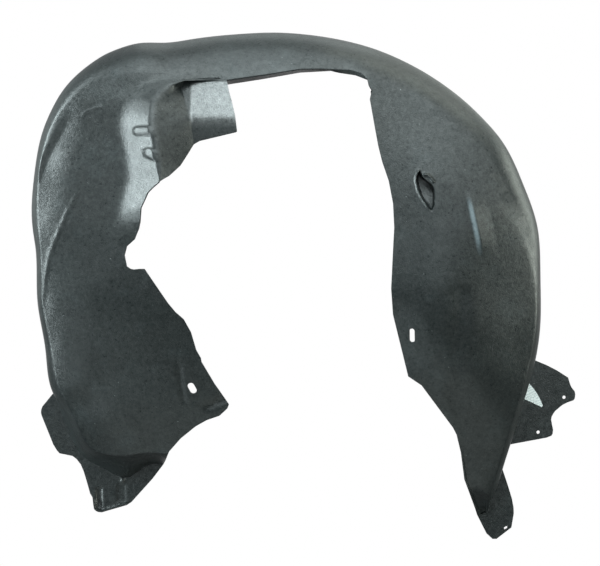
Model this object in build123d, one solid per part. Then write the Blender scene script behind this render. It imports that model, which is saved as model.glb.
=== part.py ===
from build123d import *
import os
import math
import numpy as np

# ---------------------------------------------------------------- driving dimensions
UNIT = 1.32            # mm for one layout unit in the nearest plane
CX, CQ = 300.0, 283.0  # layout centre
SPREAD = 1800.0        # mm of depth over which the layout spreads to twice its size
Y_F = 220.0            # depth of the outboard face of the flange, mm
Y_R = 219.0            # depth at which the tread ends inside the flange plate, mm
T = 2.4                # sheet thickness, mm


def place(p, q, y):
    s = UNIT * (1.0 + y / SPREAD)
    return np.stack([(p - CX) * s, y + 0.0 * p, (CQ - q) * s], -1)


# ---------------------------------------------------------------- small helpers
def pchip_slopes(x, y):
    h = np.diff(x)
    d = np.diff(y) / h
    m = np.zeros_like(y)
    for i in range(1, len(x) - 1):
        if d[i - 1] * d[i] > 0:
            w1 = 2 * h[i] + h[i - 1]
            w2 = h[i] + 2 * h[i - 1]
            m[i] = (w1 + w2) / (w1 / d[i - 1] + w2 / d[i])
    m[0], m[-1] = d[0], d[-1]
    return m


def hermite(x, y, m, t):
    i = np.clip(np.searchsorted(x, t) - 1, 0, len(x) - 2)
    h = x[i + 1] - x[i]
    s = (t - x[i]) / h
    s2, s3 = s * s, s * s * s
    return ((2 * s3 - 3 * s2 + 1) * y[i] + (s3 - 2 * s2 + s) * h * m[i]
            + (-2 * s3 + 3 * s2) * y[i + 1] + (s3 - s2) * h * m[i + 1])


def natural_slopes(x, y):
    n = len(x)
    h = np.diff(x)
    a = np.zeros((n, n))
    b = np.zeros(n)
    a[0, 0], a[0, 1], b[0] = 2, 1, 3 * (y[1] - y[0]) / h[0]
    a[-1, -1], a[-1, -2], b[-1] = 2, 1, 3 * (y[-1] - y[-2]) / h[-1]
    for i in range(1, n - 1):
        a[i, i - 1] = 1 / h[i - 1]
        a[i, i] = 2 * (1 / h[i - 1] + 1 / h[i])
        a[i, i + 1] = 1 / h[i]
        b[i] = 3 * ((y[i] - y[i - 1]) / h[i - 1] ** 2 + (y[i + 1] - y[i]) / h[i] ** 2)
    return np.linalg.solve(a, b)


class Line:
    """A drawn line: layout points, some carrying a station number."""

    def __init__(self, table, smooth=True):
        pts = np.array([(r[-2], r[-1]) for r in table], float)
        self.s = np.concatenate([[0], np.cumsum(np.hypot(*np.diff(pts, axis=0).T))])
        self.p, self.q = pts[:, 0], pts[:, 1]
        key = [(r[0], self.s[i]) for i, r in enumerate(table) if len(r) == 3]
        self.k = np.array([a for a, _ in key], float)
        self.ks = np.array([b for _, b in key], float)
        self.km = pchip_slopes(self.k, self.ks)
        self.smooth = smooth
        if smooth:
            self.mp = natural_slopes(self.s, self.p)
            self.mq = natural_slopes(self.s, self.q)

    def at(self, k):
        k = np.asarray(k, float)
        s = hermite(self.k, self.ks, self.km, np.clip(k, self.k[0], self.k[-1]))
        if self.smooth:
            return hermite(self.s, self.p, self.mp, s), hermite(self.s, self.q, self.mq, s)
        return np.interp(s, self.s, self.p), np.interp(s, self.s, self.q)


def curve(table):
    x = np.array([a for a, _ in table], float)
    y = np.array([b for _, b in table], float)
    m = pchip_slopes(x, y)
    return lambda k: hermite(x, y, m, np.clip(np.asarray(k, float), x[0], x[-1]))


def step(a, b, x):
    t = np.clip((x - a) / (b - a), 0, 1)
    return t * t * (3 - 2 * t)


def near(p, q, table):
    """Distance to a drawn polyline, signed side (+ is right of travel) and share of its length."""
    pts = np.array(table, float)
    seg = np.hypot(*np.diff(pts, axis=0).T)
    cum = np.concatenate([[0], np.cumsum(seg)])
    best = np.full(np.shape(p), 1e9)
    side = np.zeros(np.shape(p))
    share = np.zeros(np.shape(p))
    for i in range(len(pts) - 1):
        a, d = pts[i], pts[i + 1] - pts[i]
        t = np.clip(((p - a[0]) * d[0] + (q - a[1]) * d[1]) / (seg[i] ** 2), 0, 1)
        ep, eq = p - a[0] - t * d[0], q - a[1] - t * d[1]
        r = np.hypot(ep, eq)
        m = r < best
        best = np.where(m, r, best)
        side = np.where(m, np.sign(d[0] * eq - d[1] * ep), side)
        share = np.where(m, (cum[i] + t * seg[i]) / cum[-1], share)
    return best, side, share


class Sheet:
    """Thin-plate surface through scattered depths."""

    def __init__(self, table, soft=0.0):
        d = np.array(table, float)
        self.c = d[:, :2] / 100.0
        n = len(d)
        r = np.hypot(self.c[:, None, 0] - self.c[None, :, 0], self.c[:, None, 1] - self.c[None, :, 1])
        a = np.zeros((n + 3, n + 3))
        a[:n, :n] = self.u(r) + soft * np.eye(n)
        a[:n, n] = 1
        a[:n, n + 1:] = self.c
        a[n, :n] = 1
        a[n + 1:, :n] = self.c.T
        self.w = np.linalg.solve(a, np.concatenate([d[:, 2], [0, 0, 0]]))

    @staticmethod
    def u(r):
        return np.where(r > 1e-9, r * r * np.log(np.maximum(r, 1e-9)), 0.0)

    def at(self, p, q):
        x, z = np.asarray(p, float) / 100.0, np.asarray(q, float) / 100.0
        out = self.w[-3] + self.w[-2] * x + self.w[-1] * z
        for (cx, cz), w in zip(self.c, self.w[:-3]):
            out = out + w * self.u(np.hypot(x - cx, z - cz))
        return out


# ---------------------------------------------------------------- drawn lines
ROOT_LOW = [(0, 163.4, 464.4), (0.5, 147, 465.5), (1, 128, 477.5), (1.5, 104, 468.5), (2, 82, 455.5),
            (2.5, 70, 434), (3, 62, 414), (4, 55, 394)]
CREST = [(0, 165.6, 460.3), (0.5, 147.5, 460), (1, 128, 466), (1.5, 105, 461), (2, 84, 451), (2.5, 73, 431),
         (3, 64.5, 412), (4, 53.1, 393.5), (45.4, 350), (5, 37.6, 303.5), (36.6, 275), (35.4, 247.5),
         (33.4, 234.5), (6, 31.6, 215.5), (32.6, 190), (35.4, 165.5), (39.5, 142.5), (7, 44.3, 126.5),
         (51.2, 110.5), (59.4, 95.5), (8, 70.1, 81.5), (78.5, 73.3), (94.5, 60.9), (103.5, 55.3),
         (9, 120.5, 48.0), (138.5, 43.2), (152, 42.5), (10, 165.5, 42.6), (190, 39.4), (11, 220.5, 35.5),
         (245, 33.6), (271.5, 32.5), (12, 305.5, 34.4), (13, 343.5, 40.4), (14, 376.2, 49.5), (408.5, 63.5),
         (424.9, 72.5), (15, 441.9, 83.5), (468.5, 104.5), (16, 484.5, 120.2), (499.5, 137.5), (508.5, 151.5),
         (17, 523.5, 184.8), (18, 537.6, 227.5), (540.0, 250.5), (19, 540.6, 280), (20, 540.6, 321.5),
         (21, 535.4, 360.5), (524, 401), (22, 510.5, 444.4), (23, 502.6, 469.5), (24, 496.6, 488),
         (24.5, 491, 500), (25, 487, 514)]
SHOULDER = [(0, 168.3, 453.5), (0.5, 148, 452), (1, 126, 454), (1.5, 106, 454), (2, 90, 446), (2.5, 79, 426),
            (3, 70, 408), (4, 61, 388), (4.5, 52, 346.5), (5, 43, 303), (5.5, 41.5, 257), (6, 38.5, 216.5),
            (6.5, 40, 171.5), (7, 51, 129.8), (8, 80, 92), (9, 131, 73), (10, 178, 74), (11, 226, 74),
            (12, 302, 64), (13, 345, 65.5), (14, 374, 80), (15, 420, 100), (16, 466, 137), (17, 508, 190),
            (17.5, 520, 209), (18, 529, 230), (19, 535.5, 278), (20, 536, 321), (21, 530, 359.5),
            (22, 505.3, 443), (23, 497.8, 468), (24, 491.5, 487), (24.5, 487.5, 496), (25, 485, 512)]
RIM = [(0, 228.8, 404.5), (1, 214.5, 384.1), (2, 201.5, 362.2), (200.9, 358.5), (196.3, 350.5), (191.0, 332.5),
       (3, 183.7, 319.5), (175.6, 312.5), (168.1, 303.5), (4, 161, 293.2), (5, 144.5, 269.0), (139, 269.0),
       (133.5, 269.6), (130.5, 268.9), (126.9, 266.5), (5.5, 124.6, 255.5), (126.9, 246.5), (134.7, 239.5),
       (6, 138.6, 229.5), (139.8, 222.5), (140.5, 208), (6.6, 147.4, 192.5), (150.5, 189.2), (153.5, 186.3),
       (7, 160.0, 181.0), (7.5, 158.6, 165), (8, 155.8, 146.8), (8.5, 151.5, 125), (9, 153.6, 102.3),
       (161, 93), (9.6, 172, 85.5), (10, 184, 81.2), (205, 80.9), (11, 228, 80.4), (264, 75.3), (12, 300, 69.4),
       (320, 69.0), (12.8, 331, 69.6), (349.7, 69.8), (361, 73), (13.8, 367.5, 79.5), (369, 85.5), (14, 372.7, 90.5),
       (371.1, 93.5), (14.3, 370.0, 98.5), (15, 374.6, 125), (378.3, 145.5), (16, 382.2, 161.5), (388.6, 180.5),
       (17, 393.0, 203.5), (394.2, 227.5), (18, 393.4, 242), (19, 391.1, 288.5), (20, 392.9, 314.5), (395.5, 325),
       (21, 408.2, 376.5), (421.6, 385.5), (22, 445, 417), (452.8, 427.5), (456.5, 434.6), (23, 460.8, 452.5),
       (24, 464.3, 479.5), (24.5, 469, 492), (25, 478.0, 516.5)]
# lower edge of the front leg, from the shoulder to the tip
LOW_EDGE = [(168.3, 453.5), (169.2, 451.5), (180.7, 438.5), (195.5, 426.5), (206.5, 420.3), (219.5, 415.8), (227.5, 408.4), (228.8, 404.5)]
# back line of the strut pocket, its ceiling and the return lip under the top edge
BACK = [(6.8, 197, 154), (7, 195.5, 146), (7.5, 194.6, 141), (8, 192.5, 134), (8.5, 191.0, 117), (9, 185.8, 103.4),
        (9.6, 180.5, 88), (10, 186, 79), (10.5, 204, 78.6), (10.85, 219, 78.6), (11, 228, 85), (11.5, 264, 79.2),
        (12, 300, 72.9), (12.8, 331, 71.2)]

DEPTHS = [
    (43, 303, 72), (50, 303, 67), (60, 302, 62), (72, 301, 57.5), (86, 300, 53.5), (104, 300, 52),
    (42, 257, 59.5), (50, 257, 55.6), (60, 257, 52.6), (72, 257, 50), (86, 255, 47.5), (104, 252, 45), (124, 255, 43), (120, 228, 41),
    (39, 216, 55.5), (48, 216, 50.6), (60, 215, 46.6), (72, 214, 44.2), (86, 213, 42.7), (104, 213, 41.5),
    (40, 176, 56.5), (48, 176, 53), (60, 178, 48), (72, 179, 45.2), (86, 180, 43.7), (104, 181, 42), (117, 182, 40.5),
    (44, 155, 61.5), (52, 150, 57), (62, 150, 51.5), (74, 150, 47.5), (88, 150, 46), (104, 150, 44.5), (117, 150, 43),
    (52, 130, 62.5), (66, 130, 56), (82, 124, 52), (100, 120, 50), (116, 120, 48),
    (68, 108, 61.5), (84, 100, 57), (102, 96, 54.5), (122, 100, 51), (84, 94, 59.5), (108, 82, 58.5), (132, 97, 51.5), (131, 74, 57), (150, 74, 55.8),
    (150, 90, 51.5), (165, 87, 53.5), (178, 76, 58.5),
    (145, 270, 45), (50, 346, 87), (60, 345, 80), (72, 343, 74.5), (86, 340, 70), (104, 336, 66), (150, 320, 57), (190, 325, 62),
    (200, 362, 74), (150, 370, 78),
    (61, 388, 101), (68, 388, 96.5), (78, 387, 92.5), (90, 385, 89.5), (106, 382, 87), (72, 408, 111), (84, 405, 104.5), (100, 420, 107),
    (228, 405, 94), (190, 400, 90), (140, 410, 97),
    (90, 446, 134), (126, 454, 130), (150, 451, 126), (178, 449, 122), (250, 418, 102),
    (183, 81, 57), (228, 80, 58), (264, 75, 57), (300, 69, 56), (330, 70, 58), (361, 73, 59), (370, 95, 52),
    (220, 70, 64.5), (300, 60, 63), (345, 62, 65),
    (376, 125, 43), (402, 108, 50), (420, 100, 54), (446, 146, 36), (466, 137, 41), (389, 181, 30), (394, 235, 24), (430, 230, 17),
    (462, 190, 22), (430, 185, 23), (472, 220, 19), (505, 203, 29), (508, 190, 34), (520, 226, 37), (528, 250, 43), (536, 275, 51),
    (532, 225, 43), (391, 288, 28), (440, 290, 19),
    (490, 290, 33), (536, 321, 60), (395, 322, 36), (450, 330, 29), (500, 330, 44), (408, 376, 60), (460, 380, 52),
    (500, 380, 66), (530, 359, 74), (440, 410, 84), (480, 420, 90), (505.5, 443, 114), (460, 452, 122),
    (498, 468, 136), (464, 479, 147), (492, 487, 154), (469.5, 493, 164), (488, 496, 166), (473, 506, 202), (485, 507, 206), (478, 516, 219),
    (485, 512, 219), (470, 525, 219)]
DROP = curve([(0, 40), (1, 42), (2, 40), (3, 44), (4, 44), (5, 36), (6, 34), (7, 40), (8, 52), (9, 72), (10, 80), (12, 80),
              (14, 80), (15, 74), (16, 62), (17, 50), (18, 40), (19, 36), (20, 38), (21, 36), (22, 32), (23, 28), (24, 22),
              (24.5, 15), (25, 1)])
HIDE = curve([(0, 0), (3, 0), (3.6, 0.35), (4, 0.9), (4.6, 1), (24, 1), (24.5, 0.5), (25, 0)])
FOLD = curve([(0, 0.3), (3, 0.3), (4, 0.5), (5, 0.5), (8, 0.55), (16, 0.55), (17, 0.45), (19, 0.3), (20, 0.25), (22, 0.2), (25, 0.2)])
FARLINE = curve([(0, 1), (4, 1), (4.4, 0.985), (5, 0.955), (7, 0.955), (8, 0.957), (12, 0.957), (16, 0.955), (18, 0.945), (20, 0.937),
                 (21, 0.935), (22, 0.945), (23, 0.96), (24, 0.985), (24.5, 1), (25, 1)])
LIP_Y = curve([(10.8, 78), (11, 76), (12, 72), (12.8, 66), (13.8, 60)])

sheet = Sheet(DEPTHS)
crest, shoulder, rim, back = Line(CREST), Line(SHOULDER), Line(RIM, False), Line(BACK)
root_low = Line(ROOT_LOW)

RIDGE_P = curve([(58, 226), (70, 207), (78, 192), (81.2, 184), (85.5, 172), (93, 161), (102.3, 153.6), (125, 151.5), (146.8, 155.8), (165, 158.6),
                 (178, 159.4), (192, 156), (208, 151), (222, 147), (240, 142), (250, 140)])
RISE = curve([(58, 0), (68, 1.5), (78, 5), (88, 10.5), (98, 17), (108, 23), (118, 27.5), (130, 30), (147, 32), (165, 33), (182, 33), (200, 31), (210, 27.5), (220, 20), (230, 10), (238, 3.5), (246, 0)])
BEADS = [((137, 130.8), (156, 130.2), 4.6, 3.2), ((148, 152.5), (160, 157.5), 5.4, 3.2)]
GROOVE = [(74, 108), (69.4, 114.4), (60.2, 128.2), (51, 146.6), (43, 163.8), (36, 183.3), (31.5, 206)]
RIDGE_L = [(85, 183), (76, 196), (66, 214.3), (55, 240), (48.7, 256.8), (44.5, 280), (42, 303), (40.5, 322)]
RIDGE_R = [(478, 189), (492, 196), (506, 207), (516, 220), (523, 235), (529, 252), (533, 268), (536, 285), (537.5, 304)]
ARC = [(80, 116.5), (86, 112.5), (94, 108.6), (104, 106)]
DROP_LIP = [(420.4, 168.6), (418, 171.4), (416.2, 175), (415.4, 180.6), (417.6, 190.4), (421, 197.6), (425.2, 203.8), (430.8, 211.4)]
HOOK = [(422.4, 175.6), (424.2, 174.6), (427.4, 174.8), (430.6, 177.4), (433.6, 181.4), (434.4, 183.4)]
STREAK = [(464, 188), (469.5, 196), (474.4, 215), (479.4, 235), (482.6, 252), (484, 259)]
SOFT_A = [(419, 285), (422, 300), (427, 325), (435, 355), (440, 372)]
SOFT_B = [(433, 380), (438, 388), (446, 404), (456, 423), (460, 436)]
BAND = [(461, 296), (458, 340), (459, 402)]
TIP = [(198, 409), (212, 404.5), (228, 397)]
TOE_LIP = [(461.0, 444), (462.4, 461), (464.3, 479.5), (471, 498), (478, 516.5), (486.5, 533.4)]
DENT = [(179, 366), (181, 385), (184, 401)]


def crease(e, soft):
    """0 on one side of a line and the distance from it on the other, eased over a short width."""
    return soft * np.log1p(np.exp(np.clip(e / soft, -40, 40)))


def relief(p, q):
    """Forms pressed into the wall, in mm toward the front."""
    # strut tower bulge, a ramp that climbs to the pocket ridge
    d = RIDGE_P(q) - p
    ramp = np.where(d > 0, 1 - d / 32.0, 1.0)
    soft = 0.11
    ramp = soft * np.log1p(np.exp(np.minimum(ramp / soft, 60)))
    h = RISE(q) * np.minimum(ramp, 1.05) * (1 - step(170, 200, p))
    for a, b, r, hi in BEADS:
        e, _, _ = near(p, q, [a, b])
        h = h + hi * (1 - step(0.55 * r, 1.15 * r, e)) * step(0.5, 4.5, d)
    # long groove behind the wing line
    e, side, s = near(p, q, GROOVE)
    e = e * side
    wide = 8.5 - 3.5 * s
    deep = 4.4 * step(0.0, 0.3, s) * (1 + 0.1 * s)
    h = h - deep * step(-42.0, -0.4 * wide, e) * (1 - step(-0.5 * wide, 0.6 * wide, e))
    # ridges where the wall turns to the tread, front leg and rear leg
    e, side, s = near(p, q, RIDGE_L)
    on = step(0.0, 0.55, s)
    fall = crease(np.where(side > 0, e, -e), 1.2)
    h = h - 2.0 * on * (1 - np.exp(-fall / 9.0))
    h = h + 1.5 * step(0, 0.12, s) * (1 - step(0.8, 1.0, s)) * np.exp(-(e / 1.6) ** 2)
    e, side, s = near(p, q, RIDGE_R)
    on = step(0.0, 0.7, s)
    fall = crease(np.where(side < 0, e, -e), 2.6 - 1.6 * s)
    h = h - 18.0 * on * (1 - np.exp(-fall / 22.0))
    e, side, s = near(p, q, ARC)
    h = h + 1.2 * np.exp(-(e / 1.6) ** 2) * step(0, 0.2, s) * (1 - step(0.75, 1, s))
    # teardrop scoop on the rear leg: deep at the top, a thin lip on the left and a hooked bead above
    h = h - teardrop(p, q)
    e, _, s = near(p, q, DROP_LIP)
    h = h + 2.3 * np.exp(-(e / 1.3) ** 2) * step(0, 0.1, s) * (1 - step(0.85, 1, s))
    e, _, s = near(p, q, HOOK)
    h = h + 4.2 * np.exp(-(e / 1.4) ** 2) * step(0, 0.15, s) * (1 - step(0.85, 1, s))
    e, side, s = near(p, q, STREAK)
    h = h + 3.6 * step(0, 0.35, s) * (1 - step(0.7, 1, s)) * np.maximum(0, 1 - e / np.where(side > 0, 5.6, 16.0)) ** 1.2
    e, side, s = near(p, q, SOFT_A)
    h = h - 0.18 * step(0, 0.35, s) * (1 - step(0.75, 1, s)) * (1 - step(40, 75, e)) * crease(np.where(side > 0, e, -e), 2.0)
    e, _, s = near(p, q, SOFT_B)
    h = h + 1.8 * np.exp(-(e / 4.5) ** 2) * step(0, 0.35, s) * (1 - step(0.65, 1, s))
    e, _, s = near(p, q, BAND)
    h = h - 2.2 * np.exp(-(e / 9.0) ** 2)
    e, side, s = near(p, q, TIP)
    h = h - 5.0 * np.exp(-(e / 4.0) ** 2) * step(0.0, 0.5, s)
    e, side, s = near(p, q, TOE_LIP)
    wide = 0.8 + 3.4 * s
    h = h + 4.0 * step(0, 0.3, s) * (1 - step(wide * 0.55, wide * 1.25, np.where(side > 0, 0, e)))
    e, _, s = near(p, q, DENT)
    h = h - 1.4 * np.exp(-(e / 2.6) ** 2)
    return h


SCOOP = curve([(160, 0), (169.5, 0), (172.5, 9), (178, 15), (184, 17), (192, 16), (200, 12.5), (207, 6.5), (212.5, 0), (220, 0)])


def teardrop(p, q):
    """Depth of the scoop, with steep sides and a floor that faces down."""
    left = np.interp(q, [170, 173, 177, 181.5, 189, 197, 205, 212], [419.6, 418, 416.6, 416.4, 418.4, 421.8, 426.4, 431.6])
    right = np.interp(q, [170, 173, 177, 181.5, 185, 189, 197, 205, 212], [420.6, 421, 422.6, 428, 432.4, 434.4, 435, 434.6, 432.6])
    side = step(-0.3, 1.6, p - left) * step(-0.3, 2.2, right - p)
    return side * SCOOP(q)


def wall(p, q):
    return sheet.at(p, q) - relief(p, q)


TAB_Q = np.linspace(70, 150, 81)
TAB_Y = curve([(70, 66), (79, 61.5), (90, 56.6), (100, 51.4), (110, 45.6), (116, 42.4), (120, 41.3), (125, 41.2), (133, 42), (141, 43.5), (150, 46)])(TAB_Q)


def tab_depth(p, q):
    return np.interp(q, TAB_Q, TAB_Y) - 0.20 * (p - 212.0)


def back_depth(k, p, q):
    """Depth of the pocket's back line: in the tab's thickness, then along the return lip."""
    w = step(10.8, 11.0, k)
    return (1 - w) * (tab_depth(p, q) + 1.2) + w * LIP_Y(k)


def root(k):
    lp, lq = root_low.at(k)
    sp, sq = crest.at(k)
    f = FARLINE(k)
    w = step(3.6, 4.3, k)
    hp, hq = CX + (sp - CX) * f, CQ + (sq - CQ) * f
    return lp * (1 - w) + hp * w, lq * (1 - w) + hq * w


def wall_line(k, wp, wq, op, oq, t):
    """Plan position between shoulder and rim; near the first station it bends to the leg's lower edge."""
    e = np.array(LOW_EDGE, float)
    s = np.concatenate([[0], np.cumsum(np.hypot(*np.diff(e, axis=0).T))])
    ep, eq = np.interp(t, s / s[-1], e[:, 0]), np.interp(t, s / s[-1], e[:, 1])
    f = np.clip(1 - k / 1.3, 0, 1) ** 2
    p = wp + (op - wp) * t + f * (ep - e[0, 0] - (e[-1, 0] - e[0, 0]) * t)
    q = wq + (oq - wq) * t + f * (eq - e[0, 1] - (e[-1, 1] - e[0, 1]) * t)
    return p, q


def near_skin(k, va, vb, vc):
    """Rows of (p, q, y) for stations k: tread, shoulder, wall."""
    k = np.asarray(k, float)[:, None]
    rp, rq = root(k)
    sp, sq = crest.at(k)
    wp, wq = shoulder.at(k)
    op, oq = rim.at(k)
    yw = wall(wp, wq)
    drop = DROP(k)
    ys = np.minimum(yw + drop, Y_R - 1)
    hide = HIDE(k)
    # tread
    ta = np.asarray(va, float)[None, :]
    ya = Y_R + (ys - Y_R) * ta
    g = 1 - ta
    g = hide * g * g * (2 - g) + (1 - hide) * g
    pa, qa = sp + (rp - sp) * g, sq + (rq - sq) * g
    # shoulder
    tb = np.asarray(vb, float)[None, :]
    b = FOLD(k)
    a1p, a1q = (1 - hide) * (wp - sp) * 0.35, (1 - hide) * (wq - sq) * 0.35
    a1y = -0.55 * drop
    b2p, b2q = wp + (sp - wp) * b, wq + (sq - wq) * b
    eps = 1.0 / np.maximum(np.hypot(sp - wp, sq - wq), 1.0)
    slope = (wall(wp - (sp - wp) * eps, wq - (sq - wq) * eps) - yw) / eps
    b2y = yw - slope * b
    c0, c1, c2, c3 = (1 - tb) ** 3, 3 * tb * (1 - tb) ** 2, 3 * tb * tb * (1 - tb), tb ** 3
    pb = c0 * sp + c1 * (sp + a1p) + c2 * b2p + c3 * wp
    qb = c0 * sq + c1 * (sq + a1q) + c2 * b2q + c3 * wq
    yb = c0 * ys + c1 * (ys + a1y) + c2 * b2y + c3 * yw
    # wall
    tc = np.asarray(vc, float)[None, :]
    pc, qc = wall_line(k, wp, wq, op, oq, tc)
    return np.stack([pa, qa, ya], -1), np.stack([pb, qb, yb], -1), np.stack([pc, qc, wall(pc, qc)], -1)


# ---------------------------------------------------------------- sheet surfaces
def even_rows(rows, n):
    """Each row of (p, q, y) points laid again at n equal steps of its length, in mm."""
    out = []
    for row in rows:
        x = place(row[:, 0], row[:, 1], row[:, 2])
        s = np.concatenate([[0], np.cumsum(np.linalg.norm(np.diff(x, axis=0), axis=1))])
        g = np.linspace(0, s[-1], n)
        out.append(np.stack([np.interp(g, s, x[:, j]) for j in range(3)], -1))
    return np.array(out)


def backed(face, i, j):
    """The grid and the same grid one sheet thickness behind it; (i, j) is a point that faces the front."""
    n = np.cross(np.gradient(face, axis=0), np.gradient(face, axis=1))
    n /= np.maximum(np.linalg.norm(n, axis=-1, keepdims=True), 1e-9)
    if n[i, j, 1] > 0:
        n = -n
    return face, face - T * n


def even_stations(n):
    """n station numbers, about equally far apart along the crest and the rim together."""
    fine = np.linspace(0, 25, 2501)
    sp, sq = crest.at(fine)
    op, oq = rim.at(fine)
    d = 0.5 * np.hypot(np.diff(sp), np.diff(sq)) + 0.5 * np.hypot(np.diff(op), np.diff(oq))
    s = np.concatenate([[0], np.cumsum(d)])
    return np.interp(np.linspace(0, s[-1], n), s, fine)


def soften(grid, times):
    """Inner points eased toward their neighbours, so that a sheet thickness fits behind every form."""
    for _ in range(times):
        g = grid.copy()
        g[1:-1, 1:-1] = 0.25 * grid[:-2, 1:-1] + 0.5 * grid[1:-1, 1:-1] + 0.25 * grid[2:, 1:-1]
        grid = g.copy()
        grid[1:-1, 1:-1] = 0.25 * g[1:-1, :-2] + 0.5 * g[1:-1, 1:-1] + 0.25 * g[1:-1, 2:]
    return grid


def skin_grid(k, n):
    def run(m, last=False):
        return np.linspace(0, 1, m + 1)[: m + 1 if last else m]

    a, b, c = near_skin(k, run(24), run(48), run(160, True))
    face = soften(even_rows(np.concatenate([a, b, c], 1), n), 2)
    return backed(face, len(k) // 2, int(n * 0.8))


def pocket_grid(k, m):
    """Side face and ceiling of the strut pocket and the return lip, from the ridge to the back line."""
    k = np.asarray(k, float)[:, None]
    t = np.linspace(0, 1, m)[None, :]
    op, oq = rim.at(k)
    wp, wq = shoulder.at(k)
    n = np.hypot(wp - op, wq - oq)
    op, oq = op + 1.6 * (wp - op) / n, oq + 1.6 * (wq - oq) / n     # passes through the skin just inside its edge
    ep, eq = back.at(k)
    yo, ye = wall(op, oq) - 0.8, back_depth(k, ep, eq)
    face = place(op + (ep - op) * t, oq + (eq - oq) * t, yo + (ye - yo) * t)
    return backed(face, 8, m // 2)


def spread(points, y):
    """Layout points laid in the plane at depth y."""
    return [Vector(*map(float, place(np.float64(p), np.float64(q), np.float64(y)))) for p, q in points]


def cone(points, y0, y1):
    """Solid whose flat sides follow the spread of the layout from depth y0 to y1."""
    lo, hi = spread(points, y0), spread(points, y1)
    sides = [Face(Wire.make_polygon([lo[i - 1], lo[i], hi[i], hi[i - 1]], close=True)) for i in range(len(lo))]
    caps = [Face(Wire.make_polygon(v, close=True)) for v in (lo, hi)]
    return Solid(Shell(sides + caps))


def slab(points, y0, y1):
    """Plate with square sides, laid out at the flange depth."""
    flat = [Vector(v.X, y0, v.Z) for v in spread(points, Y_F)]
    return Solid.extrude(Face(Wire.make_polygon(flat, close=True)), Vector(0, y1 - y0, 0))


def lofted(front, rear, ruled=False):
    """Closed sheet between two grids, smooth along its rows and smooth or ruled from row to row."""
    par = [float(v) for v in np.linspace(0, 1, front.shape[1])]
    wires, ends = [], []
    for i, (a, b) in enumerate(zip(front, rear)):
        a = [tuple(map(float, v)) for v in a]
        b = [tuple(map(float, v)) for v in b]
        e1 = Edge.make_spline(a, parameters=par)
        e3 = Edge.make_spline(b[::-1], parameters=par)
        wires.append(Wire([e1, Edge.make_line(a[-1], b[-1]), e3, Edge.make_line(b[0], a[0])]))
        if i in (0, len(front) - 1):
            ends.append(Face.make_surface_from_curves(e1, Edge.make_spline(b, parameters=par)))
    return Solid(Shell(list(Shell.make_loft(wires, ruled=ruled).faces()) + ends))


# ---------------------------------------------------------------- plan outlines (layout units)
OPENING = [
    (131.5, 501.9), (152.7, 478.5), (164.9, 462.5), (169.2, 451.5), (180.7, 438.5), (195.5, 426.5), (206.5, 420.3),
    (219.5, 415.8), (227.5, 408.4), (228.8, 404.5), (214.5, 384.1), (201.5, 362.2), (200.9, 358.5), (196.3, 350.5),
    (191.0, 332.5), (183.7, 319.5), (175.6, 312.5), (168.1, 303.5), (144.5, 269.0), (133.5, 269.6), (130.5, 268.9),
    (126.9, 266.5), (125.2, 261), (124.6, 255.5), (125.4, 250.5), (126.9, 246.5), (134.7, 239.5), (138.6, 229.5), (139.8, 222.5),
    (140.5, 208.0), (147.4, 192.5), (153.5, 186.3), (160.0, 181.5), (169.5, 175.8), (180.6, 165.5), (193.5, 143.7),
    (199.5, 141.1), (235.5, 132.4), (236.7, 131.5), (236.7, 129.5), (234.8, 114.5), (231.4, 100.0), (228.6, 90.0),
    (227.6, 84.8), (264.0, 79.0), (300.0, 72.7), (330.5, 70.9), (338.0, 73.0), (355.5, 75.6), (367.5, 80.5),
    (369.0, 85.5), (372.7, 90.5), (371.1, 93.5), (370.0, 98.5), (374.6, 125.0), (378.3, 145.5), (382.2, 161.5),
    (388.6, 180.5), (393.0, 203.5), (394.2, 227.5), (391.1, 288.5), (392.9, 314.5), (408.2, 376.5), (421.6, 385.5),
    (452.8, 427.5), (456.5, 434.6), (460.8, 452.5), (464.3, 479.5), (471.0, 498.0), (478.0, 516.5), (486.5, 533.4), (492.5, 538.9),
    (492.5, 640.0), (131.5, 640.0)]
FRONT_FLANGE = [
    (180, 466), (131.5, 501.9), (126.5, 504.7), (101.5, 511.9), (98.4, 511.6), (96.2, 510.5), (94.6, 508.6), (93.8, 504), (92.6, 497.5), (90.1, 493.5),
    (86.9, 482.0), (83.7, 471.5), (80.8, 464.5), (76.5, 459.0), (72.5, 456.0), (59.5, 453.3), (57.0, 450.5), (53.3, 444.5), (41.6, 415.5),
    (41.0, 413.0), (41.1, 410), (42.3, 406.5), (53.1, 393.5)]
REAR_FLANGE = [
    (535.6, 360.5), (546.5, 365.0), (556.5, 370.1), (568.1, 377.5), (570.2, 384.3), (571.5, 387.3), (574.8, 391.5), (575.3, 394.5),
    (574.8, 398.5), (573.5, 400.3), (567.5, 402.4), (562.5, 404.9), (558.5, 408.2), (555.3, 410.9), (553.4, 413.5), (551.6, 416.9), (551.2, 419.5), (552.0, 424.5),
    (553.1, 429.5), (552.7, 433.5), (551.5, 435.7), (546.5, 437.7), (510.5, 444.4), (503.5, 445.7)]
TOE = [(502.6, 469.5), (507.5, 484.0), (511.9, 498.5), (513.6, 507.5), (513.8, 513.5), (511.4, 527.5), (496.5, 538.9), (492.5, 538.9), (484, 545), (466, 520), (470, 511), (484.5, 511)]
LABEL = [(524, 378), (530.2, 384.7), (533.8, 388.8), (536.5, 392.7), (540.3, 399.5), (542.8, 405.6), (541.8, 407), (525.4, 399.5), (515.8, 395.1), (519.5, 380)]


def under_tread(k0, k1, n):
    """Layout points just inside the tread's end, from station k1 back to k0."""
    k = np.linspace(k1, k0, n)
    rp, rq = root(k)
    ap, aq = root(k + 0.01)
    bp, bq = root(k - 0.01)
    m = np.hypot(ap - bp, aq - bq)
    return list(zip(rp - (aq - bq) / m * 2.2, rq + (ap - bp) / m * 2.2))


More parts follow.
